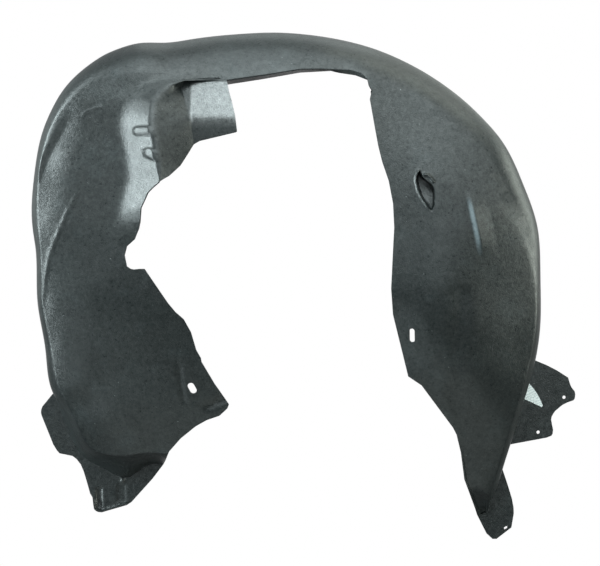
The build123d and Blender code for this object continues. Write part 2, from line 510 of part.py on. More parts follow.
def tab_grid():
    q = np.linspace(77.2, 150, 25)
    left = np.interp(q, [76, 80, 88, 103.4, 117, 134, 141, 150], [176, 178, 180, 185.3, 190.5, 192, 194, 195.5])
    t = np.linspace(0, 1, 13)
    p = left[:, None] + (246 - left[:, None]) * t[None, :]
    qq = q[:, None] + 0 * p
    face = place(p, qq, tab_depth(p, qq))
    n = np.cross(np.gradient(face, axis=0), np.gradient(face, axis=1))
    n /= np.linalg.norm(n, axis=-1, keepdims=True)
    if n[12, 6, 1] > 0:
        n = -n
    return face, face - T * n


def stadium(p, q, length, width, ux, uq, n=10):
    """Layout outline of a round-ended slot along the direction (ux, uq)."""
    m = math.hypot(ux, uq)
    ux, uq = ux / m, uq / m
    r, h = width / 2, (length - width) / 2
    base = math.atan2(uq, ux)
    out = []
    for sign, start in ((1, -math.pi / 2), (-1, math.pi / 2)):
        for i in range(n + 1):
            a = base + start + math.pi * i / n
            out.append((p + sign * h * ux + r * math.cos(a), q + sign * h * uq + r * math.sin(a)))
    return out


def grown(points, d):
    """Convex outline pushed out by d layout units."""
    c = np.mean(np.array(points, float), 0)
    out = []
    for p, q in points:
        out.append((p + math.copysign(d, p - c[0]), q + math.copysign(d, q - c[1])))
    return out


SLOT = stadium(412.0, 335.6, 14.0, 5.2, 0.02, 1.0)
OBLONG = stadium(192.1, 388.4, 11.6, 6.9, 0.50, 0.87)
SCREW_HOLES = [(564.1, 397.3), (538.2, 432.2)]
SCREW_R = 2.5          # mm
TOE_HOLE = [(504.0, 527.2), (507.4, 525.8), (507.2, 528.2), (504.2, 529.6)]
PANS = [([(95.2, 487.1), (102.8, 486.8), (103.2, 507.4), (96.2, 506.6)], 2.6),
        ([(116.4, 483.8), (126.2, 483.0), (126.6, 502.2), (116.0, 503.4)], 1.4)]
FOOT_RIM = [(93.9, 503.5), (94.8, 508.4), (96.4, 510.2), (98.6, 511.3), (101.5, 511.6), (126.3, 504.5), (126.0, 502.9),
            (101.4, 509.9), (99.0, 509.6), (97.5, 508.8), (96.6, 507.6), (95.6, 503.3)]
RIM_H = 4.0            # mm
BUMP = (122.6, 480.6)
LABEL_T = 0.3          # mm


def main():
    # skin: tread, shoulder and wall in one sheet
    skin = lofted(*skin_grid(even_stations(150), 50), ruled=True)
    print("skin", skin.is_valid, round(skin.volume))
    # strut pocket and its tab
    gap = cone(OPENING, -80, 300)
    pocket = lofted(*pocket_grid(np.linspace(7.0, 12.7, 30), 6)) + lofted(*tab_grid())
    pocket = pocket - gap
    # foot flange with its rolled edge, two recesses and a bump
    foot = slab(FRONT_FLANGE + under_tread(0.0, 3.95, 14), Y_F - T, Y_F) - gap
    foot = foot + slab(FOOT_RIM, Y_F - T - RIM_H, Y_F - 0.5)
    for outline, deep in PANS:
        foot = foot + slab(grown(outline, T / 1.48), Y_F - T + 0.4, Y_F + deep)
        foot = foot - slab(outline, Y_F - T - 1, Y_F - T + deep)
    x, y, z = map(float, place(np.float64(BUMP[0]), np.float64(BUMP[1]), np.float64(Y_F)))
    foot = foot + Pos(x, Y_F - T - 0.6, z) * Rot(90, 0, 0) * Cone(3.6, 1.6, 3.2)
    # rear flange with its screw holes, and the toe flange
    rear = slab(REAR_FLANGE + under_tread(20.85, 22.2, 6), Y_F - T, Y_F)
    for p, q in SCREW_HOLES:
        x, y, z = map(float, place(np.float64(p), np.float64(q), np.float64(Y_F)))
        rear = rear - Pos(x, Y_F, z) * Rot(90, 0, 0) * Cylinder(SCREW_R, 30)
    toe = slab(TOE, Y_F - T, Y_F) - gap - slab(TOE_HOLE, Y_F - 20, Y_F + 20)
    liner = skin
    for piece in (rear, foot, toe, pocket):
        liner = liner + piece
        print("joined", liner.is_valid, [round(s.volume) for s in liner.solids()])
    for outline in (SLOT, OBLONG):
        liner = liner - cone(outline, -60, 190)
        print("cut", liner.is_valid, [round(s.volume) for s in liner.solids()])
    solids = sorted(liner.solids(), key=lambda s: -s.volume)
    liner = solids[0]
    label = slab(LABEL, Y_F - T - LABEL_T, Y_F - T)
    origin = [float(v) for v in place(np.float64((SCREW_HOLES[0][0] + SCREW_HOLES[1][0]) / 2),
                                      np.float64((SCREW_HOLES[0][1] + SCREW_HOLES[1][1]) / 2), np.float64(Y_F))]
    move = Pos(-origin[0], -origin[1], -origin[2])
    print("origin", [round(v, 4) for v in origin], "pieces", [round(s.volume, 1) for s in solids])
    os.makedirs("parts", exist_ok=True)
    export_step(move * liner, "parts/wheel_arch_liner.step")
    export_step(move * label, "parts/label.step")


main()
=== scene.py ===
"""Wheel arch liner: a moulded black sheet with a strut pocket, pressed forms and outboard flanges."""
import math
import bpy
import bmesh
import numpy as np
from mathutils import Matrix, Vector
from mathutils.geometry import delaunay_2d_cdt


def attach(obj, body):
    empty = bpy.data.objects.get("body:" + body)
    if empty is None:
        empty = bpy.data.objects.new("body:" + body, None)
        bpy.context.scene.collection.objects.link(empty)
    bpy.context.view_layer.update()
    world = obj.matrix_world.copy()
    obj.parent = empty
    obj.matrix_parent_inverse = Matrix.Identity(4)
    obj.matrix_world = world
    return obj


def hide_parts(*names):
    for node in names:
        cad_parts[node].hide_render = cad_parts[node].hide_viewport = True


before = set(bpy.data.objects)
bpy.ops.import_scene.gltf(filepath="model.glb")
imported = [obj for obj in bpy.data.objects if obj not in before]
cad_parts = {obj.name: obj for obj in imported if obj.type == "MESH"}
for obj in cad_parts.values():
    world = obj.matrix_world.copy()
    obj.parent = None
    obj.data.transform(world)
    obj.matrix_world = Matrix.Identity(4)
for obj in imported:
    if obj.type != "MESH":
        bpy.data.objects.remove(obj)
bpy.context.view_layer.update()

# ---------------------------------------------------------------- driving dimensions
UNIT = 1.32            # mm for one layout unit in the nearest plane
CX, CQ = 300.0, 283.0  # layout centre
SPREAD = 1800.0        # mm of depth over which the layout spreads to twice its size
T = 2.4                # sheet thickness, mm
Y_ROOT = 220.0 - T     # depth of the flange's front face, mm
Y_R = Y_ROOT           # depth at which the tread meets the flange
K_POCKET = (7.0, 13.8) # stations between which the rim turns back
K_TAB = 10.85          # station at the tab's upper right corner
K_REAR = (20.85, 22.2) # stations of the rear flange
K_TOE = 22.9           # first station of the toe flange


def place(p, q, y):
    s = UNIT * (1.0 + y / SPREAD)
    return np.stack([(p - CX) * s, y + 0.0 * p, (CQ - q) * s], -1)


# ---------------------------------------------------------------- small helpers
def pchip_slopes(x, y):
    h = np.diff(x)
    d = np.diff(y) / h
    m = np.zeros_like(y)
    for i in range(1, len(x) - 1):
        if d[i - 1] * d[i] > 0:
            w1 = 2 * h[i] + h[i - 1]
            w2 = h[i] + 2 * h[i - 1]
            m[i] = (w1 + w2) / (w1 / d[i - 1] + w2 / d[i])
    m[0], m[-1] = d[0], d[-1]
    return m


def hermite(x, y, m, t):
    i = np.clip(np.searchsorted(x, t) - 1, 0, len(x) - 2)
    h = x[i + 1] - x[i]
    s = (t - x[i]) / h
    s2, s3 = s * s, s * s * s
    return ((2 * s3 - 3 * s2 + 1) * y[i] + (s3 - 2 * s2 + s) * h * m[i]
            + (-2 * s3 + 3 * s2) * y[i + 1] + (s3 - s2) * h * m[i + 1])


def natural_slopes(x, y):
    n = len(x)
    h = np.diff(x)
    a = np.zeros((n, n))
    b = np.zeros(n)
    a[0, 0], a[0, 1], b[0] = 2, 1, 3 * (y[1] - y[0]) / h[0]
    a[-1, -1], a[-1, -2], b[-1] = 2, 1, 3 * (y[-1] - y[-2]) / h[-1]
    for i in range(1, n - 1):
        a[i, i - 1] = 1 / h[i - 1]
        a[i, i] = 2 * (1 / h[i - 1] + 1 / h[i])
        a[i, i + 1] = 1 / h[i]
        b[i] = 3 * ((y[i] - y[i - 1]) / h[i - 1] ** 2 + (y[i + 1] - y[i]) / h[i] ** 2)
    return np.linalg.solve(a, b)


class Line:
    """A drawn line: layout points, some carrying a station number."""

    def __init__(self, table, smooth=True):
        pts = np.array([(r[-2], r[-1]) for r in table], float)
        self.s = np.concatenate([[0], np.cumsum(np.hypot(*np.diff(pts, axis=0).T))])
        self.p, self.q = pts[:, 0], pts[:, 1]
        key = [(r[0], self.s[i]) for i, r in enumerate(table) if len(r) == 3]
        self.k = np.array([a for a, _ in key], float)
        self.ks = np.array([b for _, b in key], float)
        self.km = pchip_slopes(self.k, self.ks)
        self.smooth = smooth
        if smooth:
            self.mp = natural_slopes(self.s, self.p)
            self.mq = natural_slopes(self.s, self.q)

    def at(self, k):
        k = np.asarray(k, float)
        s = hermite(self.k, self.ks, self.km, np.clip(k, self.k[0], self.k[-1]))
        if self.smooth:
            return hermite(self.s, self.p, self.mp, s), hermite(self.s, self.q, self.mq, s)
        return np.interp(s, self.s, self.p), np.interp(s, self.s, self.q)


def curve(table):
    x = np.array([a for a, _ in table], float)
    y = np.array([b for _, b in table], float)
    m = pchip_slopes(x, y)
    return lambda k: hermite(x, y, m, np.clip(np.asarray(k, float), x[0], x[-1]))


def step(a, b, x):
    t = np.clip((x - a) / (b - a), 0, 1)
    return t * t * (3 - 2 * t)


def near(p, q, table):
    """Distance to a drawn polyline, signed side (+ is right of travel) and share of its length."""
    pts = np.array(table, float)
    seg = np.hypot(*np.diff(pts, axis=0).T)
    cum = np.concatenate([[0], np.cumsum(seg)])
    best = np.full(np.shape(p), 1e9)
    side = np.zeros(np.shape(p))
    share = np.zeros(np.shape(p))
    for i in range(len(pts) - 1):
        if seg[i] == 0:
            continue
        a, d = pts[i], pts[i + 1] - pts[i]
        t = np.clip(((p - a[0]) * d[0] + (q - a[1]) * d[1]) / (seg[i] ** 2), 0, 1)
        ep, eq = p - a[0] - t * d[0], q - a[1] - t * d[1]
        r = np.hypot(ep, eq)
        m = r < best
        best = np.where(m, r, best)
        side = np.where(m, np.sign(d[0] * eq - d[1] * ep), side)
        share = np.where(m, (cum[i] + t * seg[i]) / cum[-1], share)
    return best, side, share


class Sheet:
    """Thin-plate surface through scattered depths."""

    def __init__(self, table, soft=0.0):
        d = np.array(table, float)
        self.c = d[:, :2] / 100.0
        n = len(d)
        r = np.hypot(self.c[:, None, 0] - self.c[None, :, 0], self.c[:, None, 1] - self.c[None, :, 1])
        a = np.zeros((n + 3, n + 3))
        a[:n, :n] = self.u(r) + soft * np.eye(n)
        a[:n, n] = 1
        a[:n, n + 1:] = self.c
        a[n, :n] = 1
        a[n + 1:, :n] = self.c.T
        self.w = np.linalg.solve(a, np.concatenate([d[:, 2], [0, 0, 0]]))

    @staticmethod
    def u(r):
        return np.where(r > 1e-9, r * r * np.log(np.maximum(r, 1e-9)), 0.0)

    def at(self, p, q):
        x, z = np.asarray(p, float) / 100.0, np.asarray(q, float) / 100.0
        out = self.w[-3] + self.w[-2] * x + self.w[-1] * z
        for (cx, cz), w in zip(self.c, self.w[:-3]):
            out = out + w * self.u(np.hypot(x - cx, z - cz))
        return out


# ---------------------------------------------------------------- drawn lines
ROOT_LOW = [(0, 163.4, 464.4), (0.5, 147, 465.5), (1, 128, 477.5), (1.5, 104, 468.5), (2, 82, 455.5),
            (2.5, 70, 434), (3, 62, 414), (4, 55, 394)]
CREST = [(0, 165.6, 460.3), (0.5, 147.5, 460), (1, 128, 466), (1.5, 105, 461), (2, 84, 451), (2.5, 73, 431),
         (3, 64.5, 412), (4, 53.1, 393.5), (45.4, 350), (5, 37.6, 303.5), (36.6, 275), (35.4, 247.5),
         (33.4, 234.5), (6, 31.6, 215.5), (32.6, 190), (35.4, 165.5), (39.5, 142.5), (7, 44.3, 126.5),
         (51.2, 110.5), (59.4, 95.5), (8, 70.1, 81.5), (78.5, 73.3), (94.5, 60.9), (103.5, 55.3),
         (9, 120.5, 48.0), (138.5, 43.2), (152, 42.5), (10, 165.5, 42.6), (190, 39.4), (11, 220.5, 35.5),
         (245, 33.6), (271.5, 32.5), (12, 305.5, 34.4), (13, 343.5, 40.4), (14, 376.2, 49.5), (408.5, 63.5),
         (424.9, 72.5), (15, 441.9, 83.5), (468.5, 104.5), (16, 484.5, 120.2), (499.5, 137.5), (508.5, 151.5),
         (17, 523.5, 184.8), (18, 537.6, 227.5), (540.0, 250.5), (19, 540.6, 280), (20, 540.6, 321.5),
         (21, 535.4, 360.5), (524, 401), (22, 510.5, 444.4), (23, 502.6, 469.5), (24, 496.6, 488),
         (24.5, 491, 500), (25, 487, 514)]
SHOULDER = [(0, 168.3, 453.5), (0.5, 148, 452), (1, 126, 454), (1.5, 106, 454), (2, 90, 446), (2.5, 79, 426),
            (3, 70, 408), (4, 61, 388), (4.5, 52, 346.5), (5, 43, 303), (5.5, 41.5, 257), (6, 38.5, 216.5),
            (6.5, 40, 171.5), (7, 51, 129.8), (8, 80, 92), (9, 131, 73), (10, 178, 74), (11, 226, 74),
            (12, 302, 64), (13, 345, 65.5), (14, 374, 80), (15, 420, 100), (16, 466, 137), (17, 508, 190),
            (17.5, 520, 209), (18, 529, 230), (19, 535.5, 278), (20, 536, 321), (21, 530, 359.5),
            (22, 505.3, 443), (23, 497.8, 468), (24, 491.5, 487), (24.5, 487.5, 496), (25, 485, 512)]
RIM = [(0, 228.8, 404.5), (1, 214.5, 384.1), (2, 201.5, 362.2), (200.9, 358.5), (196.3, 350.5), (191.0, 332.5),
       (3, 183.7, 319.5), (175.6, 312.5), (168.1, 303.5), (4, 161, 293.2), (5, 144.5, 269.0), (139, 269.0),
       (133.5, 269.6), (130.5, 268.9), (126.9, 266.5), (5.5, 124.6, 255.5), (126.9, 246.5), (134.7, 239.5),
       (6, 138.6, 229.5), (139.8, 222.5), (140.5, 208), (6.6, 147.4, 192.5), (150.5, 189.2), (153.5, 186.3),
       (7, 160.0, 181.0), (7.5, 158.6, 165), (8, 155.8, 146.8), (8.5, 151.5, 125), (9, 153.6, 102.3),
       (161, 93), (9.6, 172, 85.5), (10, 184, 81.2), (205, 80.9), (11, 228, 80.4), (264, 75.3), (12, 300, 69.4),
       (320, 69.0), (12.8, 331, 69.6), (349.7, 69.8), (361, 73), (13.8, 367.5, 79.5), (369, 85.5), (14, 372.7, 90.5),
       (371.1, 93.5), (14.3, 370.0, 98.5), (15, 374.6, 125), (378.3, 145.5), (16, 382.2, 161.5), (388.6, 180.5),
       (17, 393.0, 203.5), (394.2, 227.5), (18, 393.4, 242), (19, 391.1, 288.5), (20, 392.9, 314.5), (395.5, 325),
       (21, 408.2, 376.5), (421.6, 385.5), (22, 445, 417), (452.8, 427.5), (456.5, 434.6), (23, 460.8, 452.5),
       (24, 464.3, 479.5), (24.5, 469, 492), (25, 478.0, 516.5)]
# lower edge of the front leg, from the shoulder to the tip
LOW_EDGE = [(168.3, 453.5), (169.2, 451.5), (180.7, 438.5), (195.5, 426.5), (206.5, 420.3), (219.5, 415.8), (227.5, 408.4), (228.8, 404.5)]
# back line of the strut pocket, its ceiling and the return lip under the top edge
BACK = [(7, 193.8, 144.5), (7.5, 193.2, 139), (8, 192.0, 131), (8.5, 190.6, 116), (9, 186.4, 103.4),
        (9.6, 181.0, 88), (10, 186, 79), (10.5, 204, 78.6), (10.85, 219, 78.6), (11, 228, 84.6), (11.5, 264, 79.0),
        (12, 300, 72.7), (12.8, 331, 71.0), (338, 72.8), (13.3, 355.5, 75.4), (13.8, 367.8, 80.2)]
# lower edge of the pocket's side face, from the ridge to the tab
LOW_POCKET = [(160.0, 181.0), (169.5, 175.8), (180.6, 165.5), (187.6, 154.6), (193.8, 144.5)]

DEPTHS = [
    (43, 303, 72), (50, 303, 67), (60, 302, 62), (72, 301, 57.5), (86, 300, 53.5), (104, 300, 52),
    (42, 257, 59.5), (50, 257, 55.6), (60, 257, 52.6), (72, 257, 50), (86, 255, 47.5), (104, 252, 45), (124, 255, 43), (120, 228, 41),
    (39, 216, 55.5), (48, 216, 50.6), (60, 215, 46.6), (72, 214, 44.2), (86, 213, 42.7), (104, 213, 41.5),
    (40, 176, 56.5), (48, 176, 53), (60, 178, 48), (72, 179, 45.2), (86, 180, 43.7), (104, 181, 42), (117, 182, 40.5),
    (44, 155, 61.5), (52, 150, 57), (62, 150, 51.5), (74, 150, 47.5), (88, 150, 46), (104, 150, 44.5), (117, 150, 43),
    (52, 130, 62.5), (66, 130, 56), (82, 124, 52), (100, 120, 50), (116, 120, 48),
    (68, 108, 61.5), (84, 100, 57), (102, 96, 54.5), (122, 100, 51), (84, 94, 59.5), (108, 82, 58.5), (132, 97, 51.5), (131, 74, 57), (150, 74, 55.8),
    (150, 90, 51.5), (165, 87, 53.5), (178, 76, 58.5),
    (145, 270, 45), (50, 346, 87), (60, 345, 80), (72, 343, 74.5), (86, 340, 70), (104, 336, 66), (150, 320, 57), (190, 325, 62),
    (200, 362, 74), (150, 370, 78),
    (61, 388, 101), (68, 388, 96.5), (78, 387, 92.5), (90, 385, 89.5), (106, 382, 87), (72, 408, 111), (84, 405, 104.5), (100, 420, 107),
    (228, 405, 94), (190, 400, 90), (140, 410, 97),
    (90, 446, 134), (126, 454, 130), (150, 451, 126), (178, 449, 122), (250, 418, 102),
    (183, 81, 57), (228, 80, 58), (264, 75, 57), (300, 69, 56), (330, 70, 58), (361, 73, 59), (370, 95, 52),
    (220, 70, 64.5), (300, 60, 63), (345, 62, 65),
    (376, 125, 43), (402, 108, 50), (420, 100, 54), (446, 146, 36), (466, 137, 41), (389, 181, 30), (394, 235, 24), (430, 230, 17),
    (462, 190, 22), (430, 185, 23), (472, 220, 19), (505, 203, 29), (508, 190, 34), (520, 226, 37), (528, 250, 43), (536, 275, 51),
    (532, 225, 43), (391, 288, 28), (440, 290, 19),
    (490, 290, 33), (536, 321, 60), (395, 322, 36), (450, 330, 29), (500, 330, 44), (408, 376, 60), (460, 380, 52),
    (500, 380, 66), (530, 359, 74), (440, 410, 84), (480, 420, 90), (505.5, 443, 114), (460, 452, 122),
    (498, 468, 136), (464, 479, 147), (492, 487, 154), (469.5, 493, 164), (488, 496, 166), (473, 506, 202), (485, 507, 206), (478, 516, 218.8),
    (485, 512, 219.4), (470, 525, 219)]
DROP = curve([(0, 40), (1, 42), (2, 40), (3, 44), (4, 44), (5, 36), (6, 34), (7, 40), (8, 52), (9, 72), (10, 80), (12, 80),
              (14, 80), (15, 74), (16, 62), (17, 50), (18, 40), (19, 36), (20, 38), (21, 36), (22, 32), (23, 28), (24, 22),
              (24.5, 15), (25, 1)])
HIDE = curve([(0, 0), (3, 0), (3.6, 0.35), (4, 0.9), (4.6, 1), (24, 1), (24.5, 0.5), (25, 0)])
FOLD = curve([(0, 0.3), (3, 0.3), (4, 0.5), (5, 0.5), (8, 0.55), (16, 0.55), (17, 0.45), (19, 0.3), (20, 0.25), (22, 0.2), (25, 0.2)])
FARLINE = curve([(0, 1), (4, 1), (4.4, 0.985), (5, 0.955), (7, 0.955), (8, 0.957), (12, 0.957), (16, 0.955), (18, 0.945), (20, 0.937),
                 (21, 0.935), (22, 0.945), (23, 0.96), (24, 0.985), (24.5, 1), (25, 1)])
LIP_Y = curve([(10.8, 78), (11, 76), (12, 72), (12.8, 66), (13.8, 60)])
TURN = curve([(7.0, 0), (7.4, 0.8), (8, 1), (9.4, 1), (10.0, 0.2), (13.2, 0.2), (13.8, 0)])

sheet = Sheet(DEPTHS)
crest, shoulder, rim, back = Line(CREST), Line(SHOULDER), Line(RIM, False), Line(BACK, False)
root_low = Line(ROOT_LOW)

RIDGE_P = curve([(58, 226), (70, 207), (78, 192), (81.2, 184), (85.5, 172), (93, 161), (102.3, 153.6), (125, 151.5), (146.8, 155.8), (165, 158.6),
                 (178, 159.4), (192, 156), (208, 151), (222, 147), (240, 142), (250, 140)])
RISE = curve([(58, 0), (68, 1.5), (78, 5), (88, 10.5), (98, 17), (108, 23), (118, 27.5), (130, 30), (147, 32), (165, 33), (182, 33), (200, 31), (210, 27.5), (220, 20), (230, 10), (238, 3.5), (246, 0)])
BEADS = [((137, 130.8), (156, 130.2), 4.6, 3.2), ((148, 152.5), (160, 157.5), 5.4, 3.2)]
GROOVE = [(74, 108), (69.4, 114.4), (60.2, 128.2), (51, 146.6), (43, 163.8), (36, 183.3), (31.5, 206)]
RIDGE_L = [(85, 183), (76, 196), (66, 214.3), (55, 240), (48.7, 256.8), (44.5, 280), (42, 303), (40.5, 322)]
RIDGE_R = [(478, 189), (492, 196), (506, 207), (516, 220), (523, 235), (529, 252), (533, 268), (536, 285), (537.5, 304)]
ARC = [(80, 116.5), (86, 112.5), (94, 108.6), (104, 106)]
DROP_LIP = [(420.4, 168.6), (418, 171.4), (416.2, 175), (415.4, 180.6), (417.6, 190.4), (421, 197.6), (425.2, 203.8), (430.8, 211.4)]
HOOK = [(422.4, 175.6), (424.2, 174.6), (427.4, 174.8), (430.6, 177.4), (433.6, 181.4), (434.4, 183.4)]
STREAK = [(464, 188), (469.5, 196), (474.4, 215), (479.4, 235), (482.6, 252), (484, 259)]
SOFT_A = [(419, 285), (422, 300), (427, 325), (435, 355), (440, 372)]
SOFT_B = [(433, 380), (438, 388), (446, 404), (456, 423), (460, 436)]
BAND = [(461, 296), (458, 340), (459, 402)]
TIP = [(198, 409), (212, 404.5), (228, 397)]
TOE_LIP = [(461.0, 444), (462.4, 461), (464.3, 479.5), (471, 498), (478, 516.5), (486.5, 533.4)]
DENT = [(179, 366), (181, 385), (184, 401)]


def crease(e, soft):
    """0 on one side of a line and the distance from it on the other, eased over a short width."""
    return soft * np.log1p(np.exp(np.clip(e / soft, -40, 40)))


def relief(p, q):
    """Forms pressed into the wall, in mm toward the front."""
    # strut tower bulge, a ramp that climbs to the pocket ridge
    d = RIDGE_P(q) - p
    ramp = np.where(d > 0, 1 - d / 32.0, 1.0)
    soft = 0.11
    ramp = soft * np.log1p(np.exp(np.minimum(ramp / soft, 60)))
    h = RISE(q) * np.minimum(ramp, 1.05) * (1 - step(170, 200, p))
    for a, b, r, hi in BEADS:
        e, _, _ = near(p, q, [a, b])
        h = h + hi * (1 - step(0.55 * r, 1.15 * r, e)) * step(0.5, 4.5, d)
    # long groove behind the wing line
    e, side, s = near(p, q, GROOVE)
    e = e * side
    wide = 8.5 - 3.5 * s
    deep = 4.4 * step(0.0, 0.3, s) * (1 + 0.1 * s)
    h = h - deep * step(-42.0, -0.4 * wide, e) * (1 - step(-0.5 * wide, 0.6 * wide, e))
    # ridges where the wall turns to the tread, front leg and rear leg
    e, side, s = near(p, q, RIDGE_L)
    on = step(0.0, 0.55, s)
    fall = crease(np.where(side > 0, e, -e), 1.2)
    h = h - 2.0 * on * (1 - np.exp(-fall / 9.0))
    h = h + 1.5 * step(0, 0.12, s) * (1 - step(0.8, 1.0, s)) * np.exp(-(e / 1.6) ** 2)
    e, side, s = near(p, q, RIDGE_R)
    on = step(0.0, 0.5, s)
    fall = crease(np.where(side < 0, e, -e), 2.6 - 1.6 * s)
    h = h - 18.0 * on * (1 - np.exp(-fall / 22.0))
    e, side, s = near(p, q, ARC)
    h = h + 1.2 * np.exp(-(e / 1.6) ** 2) * step(0, 0.2, s) * (1 - step(0.75, 1, s))
    # teardrop scoop on the rear leg: deep at the top, a thin lip on the left and a hooked bead above
    h = h - teardrop(p, q)
    e, _, s = near(p, q, DROP_LIP)
    h = h + 2.3 * np.exp(-(e / 1.3) ** 2) * step(0, 0.1, s) * (1 - step(0.85, 1, s))
    e, _, s = near(p, q, HOOK)
    h = h + 4.2 * np.exp(-(e / 1.4) ** 2) * step(0, 0.15, s) * (1 - step(0.85, 1, s))
    e, side, s = near(p, q, STREAK)
    h = h + 3.6 * step(0, 0.35, s) * (1 - step(0.7, 1, s)) * np.maximum(0, 1 - e / np.where(side > 0, 5.6, 16.0)) ** 1.2
    e, side, s = near(p, q, SOFT_A)
    h = h - 0.18 * step(0, 0.35, s) * (1 - step(0.75, 1, s)) * (1 - step(40, 75, e)) * crease(np.where(side > 0, e, -e), 2.0)
    e, _, s = near(p, q, SOFT_B)
    h = h + 1.8 * np.exp(-(e / 4.5) ** 2) * step(0, 0.35, s) * (1 - step(0.65, 1, s))
    e, _, s = near(p, q, BAND)
    h = h - 2.2 * np.exp(-(e / 9.0) ** 2)
    e, side, s = near(p, q, TIP)
    h = h - 5.0 * np.exp(-(e / 4.0) ** 2) * step(0.0, 0.5, s)
    e, side, s = near(p, q, TOE_LIP)
    wide = 0.8 + 3.4 * s
    h = h + 4.0 * step(0, 0.3, s) * (1 - step(wide * 0.55, wide * 1.25, np.where(side > 0, 0, e)))
    e, _, s = near(p, q, DENT)
    h = h - 1.4 * np.exp(-(e / 2.6) ** 2)
    return h


SCOOP = curve([(160, 0), (169.5, 0), (172.5, 9), (178, 15), (184, 17), (192, 16), (200, 12.5), (207, 6.5), (212.5, 0), (220, 0)])


def teardrop(p, q):
    """Depth of the scoop, with steep sides and a floor that faces down."""
    left = np.interp(q, [170, 173, 177, 181.5, 189, 197, 205, 212], [419.6, 418, 416.6, 416.4, 418.4, 421.8, 426.4, 431.6])
    right = np.interp(q, [170, 173, 177, 181.5, 185, 189, 197, 205, 212], [420.6, 421, 422.6, 428, 432.4, 434.4, 435, 434.6, 432.6])
    side = step(-0.3, 1.6, p - left) * step(-0.3, 2.2, right - p)
    return side * SCOOP(q)


def wall(p, q):
    return sheet.at(p, q) - relief(p, q)


TAB_Q = np.linspace(70, 150, 81)
TAB_Y = curve([(70, 66), (79, 61.5), (90, 56.6), (100, 51.4), (110, 45.6), (116, 42.4), (120, 41.3), (125, 41.2), (133, 42), (141, 43.5), (150, 46)])(TAB_Q)


def tab_depth(p, q):
    return np.interp(q, TAB_Q, TAB_Y) - 0.20 * (p - 212.0)


def back_depth(k, p, q):
    """Depth of the pocket's back line: in the tab's thickness, then along the return lip."""
    w = step(10.8, 11.0, k)
    return (1 - w) * tab_depth(p, q) + w * LIP_Y(k)


def root(k):
    lp, lq = root_low.at(k)
    sp, sq = crest.at(k)
    f = FARLINE(k)
    w = step(3.6, 4.3, k)
    hp, hq = CX + (sp - CX) * f, CQ + (sq - CQ) * f
    return lp * (1 - w) + hp * w, lq * (1 - w) + hq * w


def wall_line(k, wp, wq, op, oq, t):
    """Plan position between shoulder and rim; near the first station it bends to the leg's lower edge."""
    e = np.array(LOW_EDGE, float)
    s = np.concatenate([[0], np.cumsum(np.hypot(*np.diff(e, axis=0).T))])
    ep, eq = np.interp(t, s / s[-1], e[:, 0]), np.interp(t, s / s[-1], e[:, 1])
    f = np.clip(1 - k / 1.3, 0, 1) ** 2
    p = wp + (op - wp) * t + f * (ep - e[0, 0] - (e[-1, 0] - e[0, 0]) * t)
    q = wq + (oq - wq) * t + f * (eq - e[0, 1] - (e[-1, 1] - e[0, 1]) * t)
    return p, q


def near_skin(k, va, vb, vc):
    """Rows of (p, q, y) for stations k: tread, shoulder, wall."""
    k = np.asarray(k, float)[:, None]
    rp, rq = root(k)
    sp, sq = crest.at(k)
    wp, wq = shoulder.at(k)
    op, oq = rim.at(k)
    yw = wall(wp, wq)
    drop = DROP(k)
    ys = np.minimum(yw + drop, Y_R - 1)
    hide = HIDE(k)
    # tread
    ta = np.asarray(va, float)[None, :]
    ya = Y_R + (ys - Y_R) * ta
    g = 1 - ta
    g = hide * g * g * (2 - g) + (1 - hide) * g
    pa, qa = sp + (rp - sp) * g, sq + (rq - sq) * g
    # shoulder
    tb = np.asarray(vb, float)[None, :]
    b = FOLD(k)
    a1p, a1q = (1 - hide) * (wp - sp) * 0.35, (1 - hide) * (wq - sq) * 0.35
    a1y = -0.55 * drop
    b2p, b2q = wp + (sp - wp) * b, wq + (sq - wq) * b
    eps = 1.0 / np.maximum(np.hypot(sp - wp, sq - wq), 1.0)
    slope = (wall(wp - (sp - wp) * eps, wq - (sq - wq) * eps) - yw) / eps
    b2y = yw - slope * b
    c0, c1, c2, c3 = (1 - tb) ** 3, 3 * tb * (1 - tb) ** 2, 3 * tb * tb * (1 - tb), tb ** 3
    pb = c0 * sp + c1 * (sp + a1p) + c2 * b2p + c3 * wp
    qb = c0 * sq + c1 * (sq + a1q) + c2 * b2q + c3 * wq
    yb = c0 * ys + c1 * (ys + a1y) + c2 * b2y + c3 * yw
    # wall
    tc = np.asarray(vc, float)[None, :]
    pc, qc = wall_line(k, wp, wq, op, oq, tc)
    return np.stack([pa, qa, ya], -1), np.stack([pb, qb, yb], -1), np.stack([pc, qc, wall(pc, qc)], -1)


